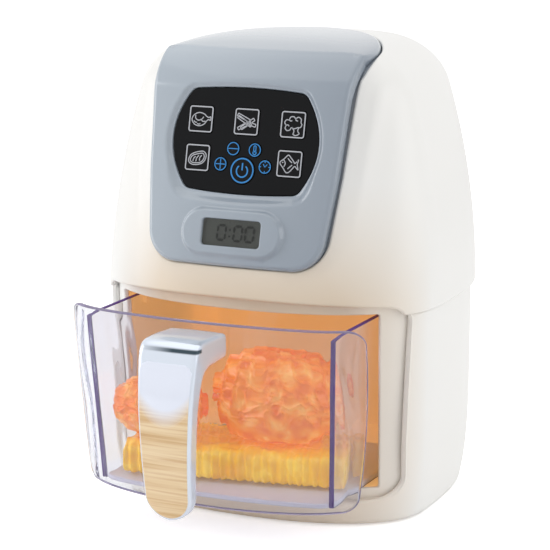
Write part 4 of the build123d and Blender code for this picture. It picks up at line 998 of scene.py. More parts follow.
RIGHT = np.array([1.0, 0.0, 0.0])
TILT_UP = np.array([0.0, sin(PLATE_TILT), cos(PLATE_TILT)])
TILT_OUT = np.array([0.0, -cos(PLATE_TILT), sin(PLATE_TILT)])
PLATE_POINT = np.array([0.0, PLATE_Y, PLATE_Z])
LCD_POINT = np.array([0.0, LCD_Y, LCD_Z])
STEEP_Z = TOP_Z - 3.2
FRONT_LOW_Z, FRONT_ROWS = 110.0, 90.0
STEEP_SLOPE = 1.6
FACE_SAG, FACE_SAG_LOSS, FACE_SAG_W = 5.0, 3.2, 54
FACE_LOW_Z, FACE_RISE = 100, 105
PANEL_OUT_END, PANEL_OUT_RUN = 1.1, 20
ROOF_BLEND, ROOF_DIP = 3.0, 0.75
PANEL_EDGE_R, PANEL_WALL, PANEL_RIM, PANEL_RIM_W = 2.2, 2.4, 5.0, 5
FLANGE_OUT, FLANGE_IN, FLANGE_T, FLANGE_EDGE_R = 3.0, 2.0, 1.4, 0.2
LIP_UP, LIP_OUT, LEDGE_DEPTH, LEDGE_W, DISH_REACH = 0.3, 0.4, 2.1, 1.4, 8
LEDGE_START, LEDGE_RUN = 0.12, 0.22
DISH_SLOPE, DISH_LOW_V, DISH_LOW_RUN = 2.6, 10, 12
DISH_TOP_Z, DISH_SIDE_W = 196, 46  # the dish and the pod lie below and within these
WINDOW_GROW, WINDOW_R = 1.7, LCD_R + 0.7
POD_EDGE, POD_SLOPE = 0.7, 2.4
CREASE_RANGE, CREASE_CLEAR = (188.0, 208.0), 0.6
CREASE_ROWS, CREASE_XS = (-2.6, -1.3, -0.5, 0.0, 0.5, 1.5), np.arange(-42, 42.1, 1.5)
DISH_ROWS = (0.0, 0.12, 0.34, 0.6, 1.0, 1.5, 2.1, 2.8, 3.6, 4.6, 5.8)
POD_ROWS = (-1.9, -1.2, -0.5, 0.2, 0.8)
ROW_MARGIN = 1.2
PLANE_PACE = 1.03  # how fast a tilted plane's own height changes with z, on the panel's face


def front_y(z):
    """Front of the control panel at mid width."""
    low = np.minimum(z, STEEP_Z)
    rise = np.clip(low - SHOULDER_Z, 0, SHOULDER_R)
    draw = SHOULDER_R - np.sqrt(SHOULDER_R**2 - rise**2)
    lean = LEAN_FRONT * np.maximum(low - LEAN_START, 0)
    out = PANEL_OUT * np.clip((TOP_Z + PANEL_OUT_END - z) / PANEL_OUT_RUN, 0, 1)
    return WIDEST_Y - (FRONT_D - lean - draw) - out + STEEP_SLOPE * np.maximum(z - STEEP_Z, 0)


def face_y(x, z):
    """Front of the control panel, which bows back at its sides, less so near its top."""
    sag = FACE_SAG - FACE_SAG_LOSS * (z - FACE_LOW_Z) / FACE_RISE
    return front_y(z) + sag * (x / FACE_SAG_W) ** 2


def circle_through(a, b, c):
    """Centre and radius of the circle through three points."""
    (ax, ay), (bx, by), (cx, cy) = a, b, c
    d = 2 * (ax * (by - cy) + bx * (cy - ay) + cx * (ay - by))
    ux = ((ax**2 + ay**2) * (by - cy) + (bx**2 + by**2) * (cy - ay) + (cx**2 + cy**2) * (ay - by)) / d
    uy = ((ax**2 + ay**2) * (cx - bx) + (bx**2 + by**2) * (ax - cx) + (cx**2 + cy**2) * (bx - ax)) / d
    return ux, uy, hypot(ax - ux, ay - uy)


ROOF = circle_through((CREASE_Y - 6, CREASE_Z - 0.9), (4, PANEL_TOP_Z - 0.3),
                      (PANEL_BACK_Y + 4, PANEL_TOP_Z - 0.4))


def roof_z(x, y):
    """Panel's top: a long arc from front to back that rounds down at its sides."""
    ridge = ROOF[1] + np.sqrt(np.maximum(ROOF[2] ** 2 - (y - ROOF[0]) ** 2, 0))
    share = np.minimum(np.abs(x) / ROOF_W, 1.0)
    arch = PANEL_TOP_Z - ROOF_H + ROOF_H * (1 - share**ROOF_POWER) ** (1 / ROOF_POWER)
    blend = np.maximum(ROOF_BLEND - np.abs(ridge - arch), 0) / ROOF_BLEND
    return np.minimum(ridge, arch) - ROOF_DIP * blend * blend


def crease_z(x):
    """Height at which the panel's front meets its top."""
    low, high = (np.full(np.shape(x), end) for end in CREASE_RANGE)
    for _ in range(32):
        middle = (low + high) / 2
        under = roof_z(x, face_y(x, middle)) > middle
        low, high = np.where(under, middle, low), np.where(under, high, middle)
    return (low + high) / 2


def panel_plain(xs):
    """Panel's face without its dish and pod."""
    x, s = xs.T
    top = crease_z(x)
    z = top + np.minimum(s, 0) * (top - FRONT_LOW_Z) / FRONT_ROWS
    y = face_y(x, z) + np.maximum(s, 0)
    return columns(x, y, np.where(s > 0, roof_z(x, y), z))


def barrel(grow=0.0):
    """Outline of the touch plate, anticlockwise: arched top and bottom, bowed sides, round corners."""
    w, h = PLATE_W - PLATE_R, PLATE_H - PLATE_R
    cw, ch = PLATE_TOP_W - PLATE_R, PLATE_CORNER_V - PLATE_R
    t = np.linspace(-1, 1, 41)
    side = columns(w - (w - cw) * t * t, ch * t)
    side_out = unit(columns(np.full(41, ch), 2 * (w - cw) * t))
    top = columns(-cw * t, h - (h - ch) * t * t)
    top_out = unit(columns(-2 * (h - ch) * t, np.full(41, cw)))
    loop = []
    for sign in (1, -1):
        for core, out, following in ((side, side_out, top_out[0]), (top, top_out, -side_out[0])):
            loop += list(sign * (core + out * (PLATE_R + grow)))
            for k in range(1, 8):
                turn = unit((out[-1] * (8 - k) + following * k)[None])[0]
                loop.append(sign * (core[-1] + turn * (PLATE_R + grow)))
    return np.array(loop)


BARREL = barrel()


def dish_width(v):
    """Width of the dish's slope, wider below the plate."""
    return DISH_SLOPE + DISH_SLOPE * smooth((-v - DISH_LOW_V) / DISH_LOW_RUN)


def panel_surface(xs):
    """Panel's face with the timer's raised pod and the dish round the touch plate."""
    points = panel_plain(xs)
    near = (points[:, 2] < DISH_TOP_Z) & (np.abs(points[:, 0]) < DISH_SIDE_W) & (xs[:, 1] < 0)
    if not near.any():
        return points
    p = points[near]
    seen = p - LCD_POINT
    v, h = seen @ TILT_UP, seen @ TILT_OUT
    straight = (POD_W - POD_H) / 2
    d = np.hypot(np.maximum(np.abs(seen[:, 0]) - straight, 0), v) - POD_H / 2
    p = p + ((POD_UP - h) * smooth((POD_EDGE - d) / POD_SLOPE))[:, None] * TILT_OUT
    seen = p - PLATE_POINT
    v, h = seen @ TILT_UP, seen @ TILT_OUT
    d = signed(columns(seen[:, 0], v), BARREL)
    lip = LIP_UP + (h - LIP_UP) * smooth((d - LIP_OUT) / dish_width(v))
    ledge = -LEDGE_DEPTH + (LEDGE_DEPTH + LIP_UP) * np.clip((d - LEDGE_START) / LEDGE_RUN, 0, 1)
    lip = np.where(d < LIP_OUT, ledge, lip)
    p = p + (np.where(d < DISH_REACH, lip - h, 0))[:, None] * TILT_OUT
    points[near] = p
    return points


def panel_at(uv, point):
    """Domain points of the panel's face straight in front of points of a tilted plane."""
    u, v = uv.T
    z = point[2] + v * TILT_UP[2]
    for _ in range(14):
        y = face_y(u, z)
        z = z - ((y - point[1]) * TILT_UP[1] + (z - point[2]) * TILT_UP[2] - v) / PLANE_PACE
    top = crease_z(u)
    return columns(u, (z - top) * FRONT_ROWS / (top - FRONT_LOW_Z))


def panel_outline(inset):
    """Outline of the panel in its domain."""
    front = panel_front_outline(inset)
    top = crease_z(front[:, 0])
    s = (front[:, 1] - top) * FRONT_ROWS / (top - FRONT_LOW_Z)
    front = columns(front[:, 0], s)[s < -CREASE_CLEAR]
    back = spread(panel_top_outline(inset), PANEL_EDGE_STEP, closed=False)
    z = crease_z(back[:, 0])
    s = back[:, 1] - face_y(back[:, 0], z)
    back = columns(back[:, 0], s)[s > CREASE_CLEAR]
    crease = np.array([(CREASE_W - inset, 0.0)])
    return with_mirror(np.concatenate([front, crease, back]))


def make_control_panel():
    """Glossy panel: tilted front with dish, pod and display opening, a crease, and the D-shaped top."""
    outline = panel_outline(PANEL_EDGE_R)
    ledge = panel_at(spread(barrel(-LEDGE_W), 1.4), PLATE_POINT)
    window = rectangle(LCD_W + WINDOW_GROW, LCD_H + WINDOW_GROW, WINDOW_R)
    window = panel_at(spread(window, 1.0), LCD_POINT)
    rows = [np.array([(x, s) for x in CREASE_XS]) for s in CREASE_ROWS]
    for grow in DISH_ROWS:
        rows.append(panel_at(spread(barrel(grow), 1.3), PLATE_POINT))
    for d in POD_ROWS:
        pod = rectangle(POD_W + 2 * d, POD_H + 2 * d, POD_H / 2 + d - 0.01)
        rows.append(panel_at(spread(pod, 1.4), LCD_POINT))
    limit = panel_outline(PANEL_EDGE_R + ROW_MARGIN)
    rows = [row[inside(row, limit)] for row in rows]

    def depth(xs):
        return PANEL_WALL + PANEL_RIM * (1 - smooth(distance(xs, outline) / PANEL_RIM_W))

    radii = [PANEL_EDGE_R, 0.4, 0.7]
    solid = shell(panel_surface, [outline, ledge, window], PANEL_STEP, depth, r=radii, extra=rows, h=0.06)
    add_piece("control_panel_shell", solid, "casing", "control_panel")

    def under_casing(uv):
        return upper_surface(uv) - slopes(upper_surface, uv) * (WALL + GAP)

    loops = [panel_opening(-FLANGE_OUT), panel_opening(FLANGE_IN)]
    strip = shell(under_casing, loops, 2.0, FLANGE_T, r=FLANGE_EDGE_R)
    add_piece("control_panel_flange", strip, "casing", "control_panel")


# Touch plate, keys and display

def flat(point, height):
    """Surface of a tilted plane at a height in front of it."""
    return lambda uv: point + uv[:, :1] * RIGHT + uv[:, 1:] * TILT_UP + height * TILT_OUT


def key_outline(name, grow=0.0):
    u, v = KEYS[name]
    if name in ROUND_KEYS:
        return circle(ROUND_KEYS[name] + grow, u, v)
    return rectangle(SQUARE_KEY + 2 * grow, SQUARE_KEY + 2 * grow, SQUARE_KEY_R + grow, u, v)


def make_touch_plate():
    holes = [key_outline(name, KEY_HOLE_GAP) for name in KEYS]
    loops = [spread(barrel(-TOUCH_EDGE_R), OUTLINE_STEP)] + holes
    radii = [TOUCH_EDGE_R] + [KEY_HOLE_EDGE_R] * len(holes)
    solid = shell(flat(PLATE_POINT, 0.0), loops, 4.0, PLATE_T, r=radii)
    add_piece("touch_plate_face", solid, "casing", "touch_plate")


def stroke(path, width, closed=False):
    """Outlines of a line of some width along a path: one loop, or an outer and an inner one."""
    path = np.asarray(path, float)
    if closed:
        return [shrink(path, -width / 2), shrink(path, width / 2)]
    ahead = np.diff(path, axis=0)
    ahead = unit(np.concatenate([ahead[:1], (ahead[1:] + ahead[:-1]) / 2, ahead[-1:]]))
    left = columns(-ahead[:, 1], ahead[:, 0]) * width / 2
    end, start = [path[-1] + ahead[-1] * width * 0.3], [path[0] - ahead[0] * width * 0.3]
    return [np.concatenate([path - left, end, (path + left)[::-1], start])]


def curve(points, closed=False, step=6):
    """Smooth path through points."""
    p = np.asarray(points, float)
    out = []
    count = len(p) if closed else len(p) - 1
    for i in range(count):
        if closed:
            a, b, c, d = p[i - 1], p[i], p[(i + 1) % len(p)], p[(i + 2) % len(p)]
        else:
            a, b, c, d = p[max(i - 1, 0)], p[i], p[i + 1], p[min(i + 2, len(p) - 1)]
        for t in np.linspace(0, 1, step, endpoint=False):
            out.append(0.5 * (2 * b + (c - a) * t + (2 * a - 5 * b + 4 * c - d) * t * t
                              + (3 * b - a - 3 * c + d) * t**3))
    if not closed:
        out.append(p[-1])
    return np.array(out)


def bar(u, v, length, angle):
    """Outline of a stick."""
    c, s = cos(radians(angle)), sin(radians(angle))
    x, y = rectangle(length, STICK_W, STICK_R, count=3).T
    return columns(u + x * c - y * s, v + x * s + y * c)


# Pictures on the square keys, as smooth closed and open lines, and sticks of (u, v, length, angle)
LINE, FRAME_LINE, POWER_LINE = 0.42, 0.55, 0.62
CLOSED_LINES = {
    "key_roast": [
        [(-4.3, -0.4), (-3.4, 1.6), (-1.2, 2.7), (1.2, 2.3), (2.7, 1.2), (3.7, 0.8), (4.5, 1.1),
         (4.7, 0.4), (4.5, -0.4), (3.7, -0.1), (2.9, -0.6), (1.6, -2.2), (-0.6, -3.0), (-2.9, -2.4)],
    ],
    "key_vegetable": [
        [(0.6, -1.7), (-0.6, -1.3), (-1.3, -2.3), (-2.6, -2.6), (-3.5, -1.6), (-3.2, -0.4), (-3.9, 0.7),
         (-3.2, 1.9), (-2.0, 2.0), (-1.3, 3.2), (0.1, 3.4), (1.0, 2.7), (2.3, 3.3), (3.6, 2.5),
         (3.6, 1.1), (4.1, 0.2), (3.5, -1.0), (2.4, -1.1)],
    ],
    "key_steak": [
        [(-4.1, -0.9), (-3.2, 1.0), (-1.5, 2.0), (0.6, 2.6), (2.6, 2.8), (4.0, 1.6), (3.9, -0.4),
         (2.6, -2.2), (0.4, -3.0), (-2.0, -3.1), (-3.7, -2.3)],
        [(-3.3, -0.9), (-2.5, 0.6), (-0.9, 1.3), (1.0, 1.8), (2.5, 1.9), (3.2, 0.9), (3.0, -0.5),
         (1.9, -1.8), (0.0, -2.3), (-1.9, -2.3), (-3.0, -1.8)],
    ],
    "key_fish": [
        [(-4.4, 0.3), (-2.6, 2.0), (-0.8, 3.7), (0.5, 2.7), (1.9, 1.2), (2.6, 0.4), (4.1, 1.9),
         (3.7, 0.0), (4.2, -2.2), (2.6, -0.9), (1.6, -1.9), (0.2, -3.4), (-1.2, -3.7), (-2.7, -1.9)],
    ],
}
OPEN_LINES = {
    "key_roast": [
        [(-2.7, 1.5), (-2.6, 0.3), (-1.4, -0.6), (0.2, -0.2), (1.2, 0.9)],
        [(0.2, -0.2), (0.9, -1.0), (2.2, -0.9)],
        [(-3.3, -1.0), (-2.6, -1.5), (-1.9, -1.6)],
        [(-1.6, -2.2), (-0.8, -2.3), (-0.2, -2.1)],
    ],
    "key_vegetable": [
        [(-2.0, 2.0), (-1.2, 1.5), (-0.6, 1.7)],
        [(-3.2, -0.4), (-2.3, -0.2), (-1.8, -0.7)],
        [(1.0, 2.7), (1.3, 1.9), (2.1, 1.7)],
        [(-0.2, -1.4), (0.7, -2.6), (0.3, -4.1)],
        [(2.9, -1.1), (2.4, -2.4), (3.3, -3.7)],
        [(0.3, -4.1), (1.8, -4.5), (3.3, -3.7)],
    ],
    "key_steak": [
        [(-2.0, -1.6), (-1.7, -0.4), (-0.9, 0.4)],
        [(-0.6, -1.7), (-0.3, -0.3), (0.6, 0.9)],
        [(1.1, -1.3), (1.2, 0.0), (2.0, 1.0)],
    ],
    "key_fish": [
        [(-2.7, 1.6), (-1.9, 0.2), (-2.4, -1.3)],
        [(-3.4, 0.5), (-3.1, 0.5), (-2.9, 0.5)],
        [(-0.8, 2.3), (0.3, 1.2), (1.2, 0.6)],
        [(-0.6, -2.1), (0.4, -1.2), (1.3, -0.4)],
    ],
}
STICKS = [(-1.3, 1.6, 6.6, -24), (-0.9, 0.2, 7.4, -30), (0.6, -0.9, 7.2, 36), (-1.5, -1.9, 5.2, 30),
          (2.2, -0.9, 4.6, -16)]
STICK_W, STICK_R = 1.2, 0.25
PRINT_UP, PRINT_T, PRINT_CELL = 0.04, 0.05, 50.0
FRAME_SIZE, FRAME_R = SQUARE_KEY - 0.9, SQUARE_KEY_R - 0.4


def print_lines(key, kind, lines, width, material):
    """Several strokes round a key's centre as one piece that rides on the key."""
    solids = []
    for path, closed in lines:
        loops = stroke(np.asarray(path) + KEYS[key], width, closed)
        solids.append(shell(flat(PLATE_POINT, KEY_PROUD + PRINT_UP), loops, PRINT_CELL, PRINT_T, r=0.0))
    add_detail(key + kind, solids, key, material)


def make_key_prints():
    """Silver squares and pictures, and the blue round symbols, each riding on its own key."""
    pictures = {}
    for name in CLOSED_LINES:
        pictures[name] = [(curve(path, True), True) for path in CLOSED_LINES[name]]
        pictures[name] += [(curve(path), False) for path in OPEN_LINES[name]]
    pictures["key_fries"] = [(bar(*stick), True) for stick in STICKS]
    frame_line = rectangle(FRAME_SIZE, FRAME_SIZE, FRAME_R)
    for name in [key for key in KEYS if key in pictures]:
        print_lines(name, "_frame", [(frame_line, True)], FRAME_LINE, silver_print)
        print_lines(name, "_picture", pictures[name], LINE, silver_print)
    rim = (circle(2.62), True)
    symbols = {
        "key_power": [(circle(5.15), True), (arc((0, -0.2), 2.6, 130, 410, 40), False),
                      ([(0, 0.2), (0, 1.6), (0, 3.2)], False)],
        "key_minus": [rim, ([(-2.2, 0), (0, 0), (2.2, 0)], False)],
        "key_plus": [rim, ([(-2.2, 0), (-0.3, 0)], False), ([(0.3, 0), (2.2, 0)], False),
                     ([(0, -2.2), (0, 0), (0, 2.2)], False)],
        "key_timer": [rim, ([(-0.8, 1.2), (0, 0.0), (1.0, 1.1)], False)] + [
            ([(2.3 * u, 2.3 * v), (1.8 * u, 1.8 * v)], False) for u, v in ((0, -1), (0, 1), (-1, 0), (1, 0))],
        "key_temperature": [rim, (rectangle(1.0, 2.6, 0.45, 0, 0.5), True),
                            (circle(0.75, 0, -1.2, 20), True)],
    }
    for name, lines in symbols.items():
        print_lines(name, "_symbol", lines, POWER_LINE if name == "key_power" else LINE, blue_print)


# The six segments of a zero, each from end to end
ZERO = [((-1, 2), (1, 2)), ((1, 2), (1, 0)), ((1, 0), (1, -2)), ((-1, -2), (1, -2)), ((-1, 0), (-1, -2)),
        ((-1, 2), (-1, 0))]
SEGMENT_W, SEGMENT_H, SEGMENT_T, SEGMENT_GAP = 1.85, 1.55, 1.1, 0.18
DIGITS_U, DIGIT_LEAN, COLON_U, COLON_V = (-5.2, 2.5, 8.0), 0.06, -1.35, 1.4
INK_DEPTH, INK_T = -1.12, 0.04


def make_digits():
    """Timer digits 0:00 on the display, behind its window."""
    solids = []

    def add(loop):
        lean = loop + columns(loop[:, 1] * DIGIT_LEAN, np.zeros(len(loop)))
        solids.append(shell(flat(LCD_POINT, INK_DEPTH), [lean], PRINT_CELL, INK_T, r=0.0))

    for u in DIGITS_U:
        for ends in ZERO:
            a, b = np.array(ends) * (SEGMENT_W, SEGMENT_H)
            along = (b - a) / np.linalg.norm(b - a)
            side = np.array((-along[1], along[0])) * SEGMENT_T / 2
            a, b = a + along * SEGMENT_GAP, b - along * SEGMENT_GAP
            tip = along * SEGMENT_T / 2
            add(np.array([a, a + tip - side, b - tip - side, b, b - tip + side, a + tip + side]) + (u, 0))
    for v in (COLON_V, -COLON_V):
        add(rectangle(0.9, 0.9, 0.2, COLON_U, v, 3))
    add_detail("display_digits", solids, "casing", display_ink)


# Drawer

def drawer_y(x, z):
    """Front of the drawer's plate."""
    share = np.clip((z - WING_LOW_Z) / WING_RISE, 0, 1)
    wide = FRONT_BOTTOM_W + (FRONT_TOP_W - FRONT_BOTTOM_W) * share
    bend = WING_BEND_LOW + (WING_BEND - WING_BEND_LOW) * share
    wing = bend * (np.abs(x) / wide) ** WING_POWER
    return FACE_Y + LAND_LEAN * (PART_Z - z) + x * x / (2 * PLAN_R) + wing


def plate_front(uv):
    x, z = uv.T
    return columns(x, drawer_y(x, z), z)


def plate_noise(x, z, per_x, per_z, layer):
    """Noise over the plate, with features per millimetre sideways and upward."""
    return np.array([noise.noise(Vector((per_x * a, per_z * b, layer))) for a, b in zip(x, z)])


def ripple(x, z):
    """Depth of the plate's moulded ripples: long waves that wander sideways, stronger in the wings."""
    wander = plate_noise(x, z, 0.03, 0.021, 4.0)
    fine = plate_noise(x, z, 0.11, 0.035, 9.0)
    wing = smooth((np.abs(x) - RIPPLE_WING_X) / 9)
    waves = np.sin(2 * pi * (x + RIPPLE_WANDER * wander) / RIPPLE_PITCH)
    return (RIPPLE + RIPPLE_WING * wing) * waves * (0.45 + 0.9 * np.abs(fine)) + RIPPLE_FINE * fine


def plate_back(uv):
    """Back of the plate: a rippled wall behind its front."""
    x, z = uv.T
    front = plate_front(uv)
    h = 0.05
    slope = (drawer_y(x + h, z) - drawer_y(x - h, z)) / (2 * h)
    size = np.hypot(1, slope)
    edge = np.clip((FRONT_TOP_Z - 1.5 - z) / 3, 0, 1) * np.clip((z - 14) / 4, 0, 1)
    t = FRONT_T + ripple(x, z) * edge
    return front + columns(-slope / size * t, t / size, np.zeros(len(x)))


def plate_outline(inset):
    """Outline of the drawer's plate in (x, z)."""
    top_w, low_w = FRONT_TOP_W - inset, FRONT_BOTTOM_W - inset
    top = [(x, FRONT_TOP_Z - inset - FRONT_CORNER_DROP * (x / top_w) ** 2) for x in np.linspace(58, -58, 20)]
    low = [(x, FRONT_BOTTOM_Z + inset + FRONT_BOTTOM_RISE * (x / low_w) ** 2)
           for x in np.linspace(-48, 48, 20)]
    low_z, top_z = FRONT_BOTTOM_Z + FRONT_BOTTOM_RISE + inset, FRONT_TOP_Z - FRONT_CORNER_DROP - inset
    bulge = [(low_w + (top_w - low_w) * a + 4 * FRONT_BULGE * a * (1 - a), low_z + (top_z - low_z) * a)
             for a in np.linspace(0.2, 0.8, 9)]
    side = [(low_w, low_z)] + bulge + [(top_w, top_z)]
    corners = low + side + top + [(-x, z) for x, z in side[::-1]]
    turns = [FRONT_R - inset] + [0] * len(bulge) + [FRONT_R - inset]
    radii = [0] * 20 + turns + [0] * 20 + turns
    return rounded(corners, radii, 12)


def tub_path(t, z, inset):
    """Points on the tub's plan outline. t runs from -1 at its right front round the back to 1."""
    share = (z - OPEN_BOTTOM_Z) / (BASKET_TOP_Z - OPEN_BOTTOM_Z)
    w = BASKET_BOTTOM_W + (BASKET_TOP_W - BASKET_BOTTOM_W) * share
    back = BASKET_BACK_Y - BASKET_LEAN * (1 - share)
    front = drawer_y(w, z) + FRONT_T + TUB_JOINT
    a = np.abs(t)
    turn = np.clip((TUB_SIDE - a) / TUB_CORNER, 0, 1) * pi / 2
    r = BASKET_R - inset
    x = np.where(a > TUB_BACK, w - BASKET_R + r * np.cos(turn), (w - BASKET_R) * a / TUB_BACK)
    y = np.where(a > TUB_BACK, back - BASKET_R + r * np.sin(turn), back - inset)
    along = np.clip((a - TUB_SIDE) / TUB_STRAIGHT, 0, 1)
    y = np.where(a > TUB_SIDE, back - BASKET_R + (front - back + BASKET_R) * along, y)
    x = np.where(a > TUB_SIDE, w - inset, x)
    return columns(-np.sign(t) * x, y, z)


def rim_height(y):
    """Height of the tub's rim, which drops towards the plate."""
    behind = y - (FACE_Y + FRONT_T)
    drop = RIM_DROP * np.clip((RIM_DROP_FROM - behind) / RIM_DROP_RUN, 0, 1)
    return BASKET_TOP_Z - drop - RIM_DIP * smooth((RIM_DIP_RUN - behind) / RIM_DIP_RUN)


def mark_rims(piece, solid, choose):
    """Give the faces whose centre is chosen the piece's second material."""
    centres = np.array([np.mean(solid[0][list(f)], axis=0) for f in solid[1]])
    for polygon, hit in zip(piece.data.polygons, choose(centres)):
        if hit:
            polygon.material_index = 1


def make_drawer_plate():
    """Clear plate with moulded ripples and two screw holes."""
    r = PLATE_EDGE_R
    holes = [circle(NECK_HOLE_R, side * NECK_HOLE_X, NECK_HOLE_Z, 16) for side in (-1, 1)]
    loops = [spread(plate_outline(r), 1.2)] + holes
    plate = shell(plate_front, loops, 1.3, FRONT_T, r=[r, 0.3, 0.3], back=plate_back)
    piece = add_piece("drawer_plate", plate, "drawer", "drawer_basket")
    piece.data.materials.append(rim_pale)
    flat_rim = plate_outline(r - 0.02)
    mark_rims(piece, plate, lambda c: ~inside(c[:, [0, 2]], flat_rim))


def tub_shares():
    """Shares of the tub's plan outline, closer together at its corners."""
    stops = [(-1, -TUB_SIDE, 60), (-TUB_SIDE, -TUB_BACK, 10), (-TUB_BACK, TUB_BACK, 50),
             (TUB_BACK, TUB_SIDE, 10), (TUB_SIDE, 1, 60)]
    return np.concatenate([[-1.0]] + [np.linspace(*stop)[1:] for stop in stops])


def make_drawer_tub():
    """Clear tub behind the plate: its walls with tinted rims, and its floor."""
    ts = tub_shares()
    rim = rim_height(tub_path(ts, np.full(len(ts), 90.0), 0.0)[:, 1]) - RIM_R
    low = columns(ts * TUB_SPAN, np.full(len(ts), BASKET_BOTTOM_Z + RIM_R))
    high = columns(ts * TUB_SPAN, rim)[::-1]
    outline = spread(np.concatenate([low, high]), TUB_STEP)

    def wall_at(inset):
        return lambda uv: tub_path(uv[:, 0] / TUB_SPAN, uv[:, 1], inset)

    walls = shell(wall_at(0.0), [outline], TUB_STEP, BASKET_T, r=RIM_R, back=wall_at(BASKET_T))
    piece = add_piece("drawer_tub_walls", walls, "drawer", "drawer_basket")
    piece.data.materials.append(rim_purple)

    def ends(c):
        x, y, z = c.T
        return (y < drawer_y(x, z) + FRONT_T + TUB_END) | (z > rim_height(y) - RIM_BAND)

    mark_rims(piece, walls, ends)

    z = BASKET_BOTTOM_Z + BASKET_T
    around = tub_path(ts, np.full(len(ts), z), BASKET_T + TUB_JOINT)
    front_x = np.linspace(around[-1, 0], around[0, 0], 40)[1:-1]
    front = columns(front_x, drawer_y(front_x, z) + FRONT_T + FLOOR_JOINT)
    loop = np.concatenate([around[:, :2], front])

    def floor_top(uv):
        return columns(uv[:, 0], uv[:, 1], np.full(len(uv), z))

    floor = shell(floor_top, [spread(loop, TUB_STEP)], 2 * TUB_STEP, BASKET_T, r=RIM_R)
    add_piece("drawer_tub_floor", floor, "drawer", "drawer_basket", tub_floor)


# Handle

HANDLE_TIP_Z, HANDLE_TIP_R = 17.4, 10.6
HANDLE_FRONT_R, HANDLE_BACK_R, HANDLE_CROWN = 1.5, 2.8, 0.35
HANDLE_FLARE, FLARE_Z, FLARE_RISE = 3.0, 28, 69.6
HANDLE_POINTS, TIP_CLOSE = 72, 1.2
REFLECTION_FILM_INSET, REFLECTION_FILM_TOP_Z, REFLECTION_FILM_PROUD, REFLECTION_FILM_T, REFLECTION_FILM_EDGE_R = 1.2, 84.2, 0.10, 0.5, 0.2
HANDLE_FRONT = [(-100.0, 92.0), (-112.0, 92.5), (-119.4, 92.4), (-124.2, 91.3), (-126.8, 87.4),
                (-128.6, 79.0), (-130.1, 68.0), (-130.4, 58.0), (-130.0, 44.0), (-128.2, 28.0),
                (-125.8, 17.4)]
HANDLE_BACK = [(-100.0, 81.2), (-112.0, 80.6), (-116.6, 79.4), (-119.4, 77.2), (-120.8, 74.4), (-121.4, 70.0),
               (-121.7, 64.0), (-121.7, 56.0), (-121.4, 43.5), (-120.4, 28.0), (-118.8, 17.4)]


def handle_half(z):
    """Half width of the handle at height z, without its round end."""
    return HANDLE_TIP_R + HANDLE_FLARE * np.clip((z - FLARE_Z) / FLARE_RISE, 0, 1)


def handle_section(front, back, w):
    """Ring of points round the handle: a rounded rectangle between its front and its back."""
    front, back = np.array(front), np.array(back)
    thick = np.linalg.norm(front - back)
    out = (front - back) / max(thick, 1e-6)
    r_front, r_back = (min(r, w * 0.98, thick * 0.48) for r in (HANDLE_FRONT_R, HANDLE_BACK_R))
    loop = []
    corners = [(w - r_front, -r_front, r_front), (-w + r_front, -r_front, r_front),
               (-w + r_back, -thick + r_back, r_back), (w - r_back, -thick + r_back, r_back)]
    for i, (cx, cy, r) in enumerate(corners):
        loop += list(arc((cx, cy), r, 90 * i, 90 * i + 90, 9))
    loop = spread(np.array(loop), 1.6)
    loop = np.concatenate([loop, loop[:1]])
    at = np.concatenate([[0], np.cumsum(np.linalg.norm(np.diff(loop, axis=0), axis=1))])
    want = np.linspace(0, at[-1], HANDLE_POINTS, endpoint=False)
    loop = columns(np.interp(want, at, loop[:, 0]), np.interp(want, at, loop[:, 1]))
    bow = HANDLE_CROWN * (1 - (loop[:, 0] / max(w, 1e-6)) ** 2)
    crown = np.where(loop[:, 1] > -thick / 2, bow, 0)
    depth = loop[:, 1] + crown
    return columns(loop[:, 0], front[0] + out[0] * depth, front[1] + out[1] * depth)


def make_handle():
    """Plated handle that hangs from its neck, with a thin film on its face that carries a painted reflection
    of wood grain.
    """
    front, back = curve(HANDLE_FRONT, step=14), curve(HANDLE_BACK, step=14)
    start = HANDLE_TIP_Z + HANDLE_TIP_R
    rings = [handle_section(f, b, handle_half(f[1])) for f, b in zip(front, back)
             if (f[1] + b[1]) / 2 > start + 0.3]
    (front_y, front_z), (back_y, back_z) = front[::-1].T, back[::-1].T
    for a in np.linspace(0, pi / 2, 26):
        z = start - HANDLE_TIP_R * sin(a)
        w = max(HANDLE_TIP_R * cos(a), 0.25)
        f, b = np.interp(z, front_z, front_y), np.interp(z, back_z, back_y)
        close = TIP_CLOSE * (1 - sqrt(max(0.0, 1 - max(0.0, (TIP_CLOSE - w) / TIP_CLOSE) ** 2)))
        rings.append(handle_section((f + close, z), (b - close, z), w))
    add_piece("handle_body", rings_solid(rings), "drawer", "handle_shell")

    def face(uv):
        x, z = uv.T
        w = handle_half(z)
        w = np.where(z < start, np.sqrt(np.maximum(HANDLE_TIP_R**2 - (start - z) ** 2, 1.0)), w)
        crown = HANDLE_CROWN * (1 - np.minimum((x / w) ** 2, 1.0))
        return columns(x, np.interp(z, front_z, front_y) - crown - REFLECTION_FILM_PROUD, z)

    # Thin film on the handle's face that carries the painted wood reflection.
    tip = HANDLE_TIP_R - REFLECTION_FILM_INSET
    low = [(tip * cos(a), start + tip * sin(a)) for a in np.linspace(-pi, 0, 40)]
    sides = [(float(handle_half(z)) - REFLECTION_FILM_INSET, z) for z in np.linspace(start + 1, REFLECTION_FILM_TOP_Z - 3, 30)]
    corner = [(sides[-1][0] - 1.0, REFLECTION_FILM_TOP_Z - 1.0), (sides[-1][0] - 3.0, REFLECTION_FILM_TOP_Z)]
    loop = np.array(low + sides + corner + [(-x, z) for x, z in reversed(sides + corner)])
    solid = shell(face, [loop], 1.0, REFLECTION_FILM_T, r=REFLECTION_FILM_EDGE_R)
    add_piece("handle_painted_reflection_film", solid, "drawer", "handle_inlay")


# Play food. FRIES_TOP is how high the chicken's floor lies over the tub's, apart from the gap.

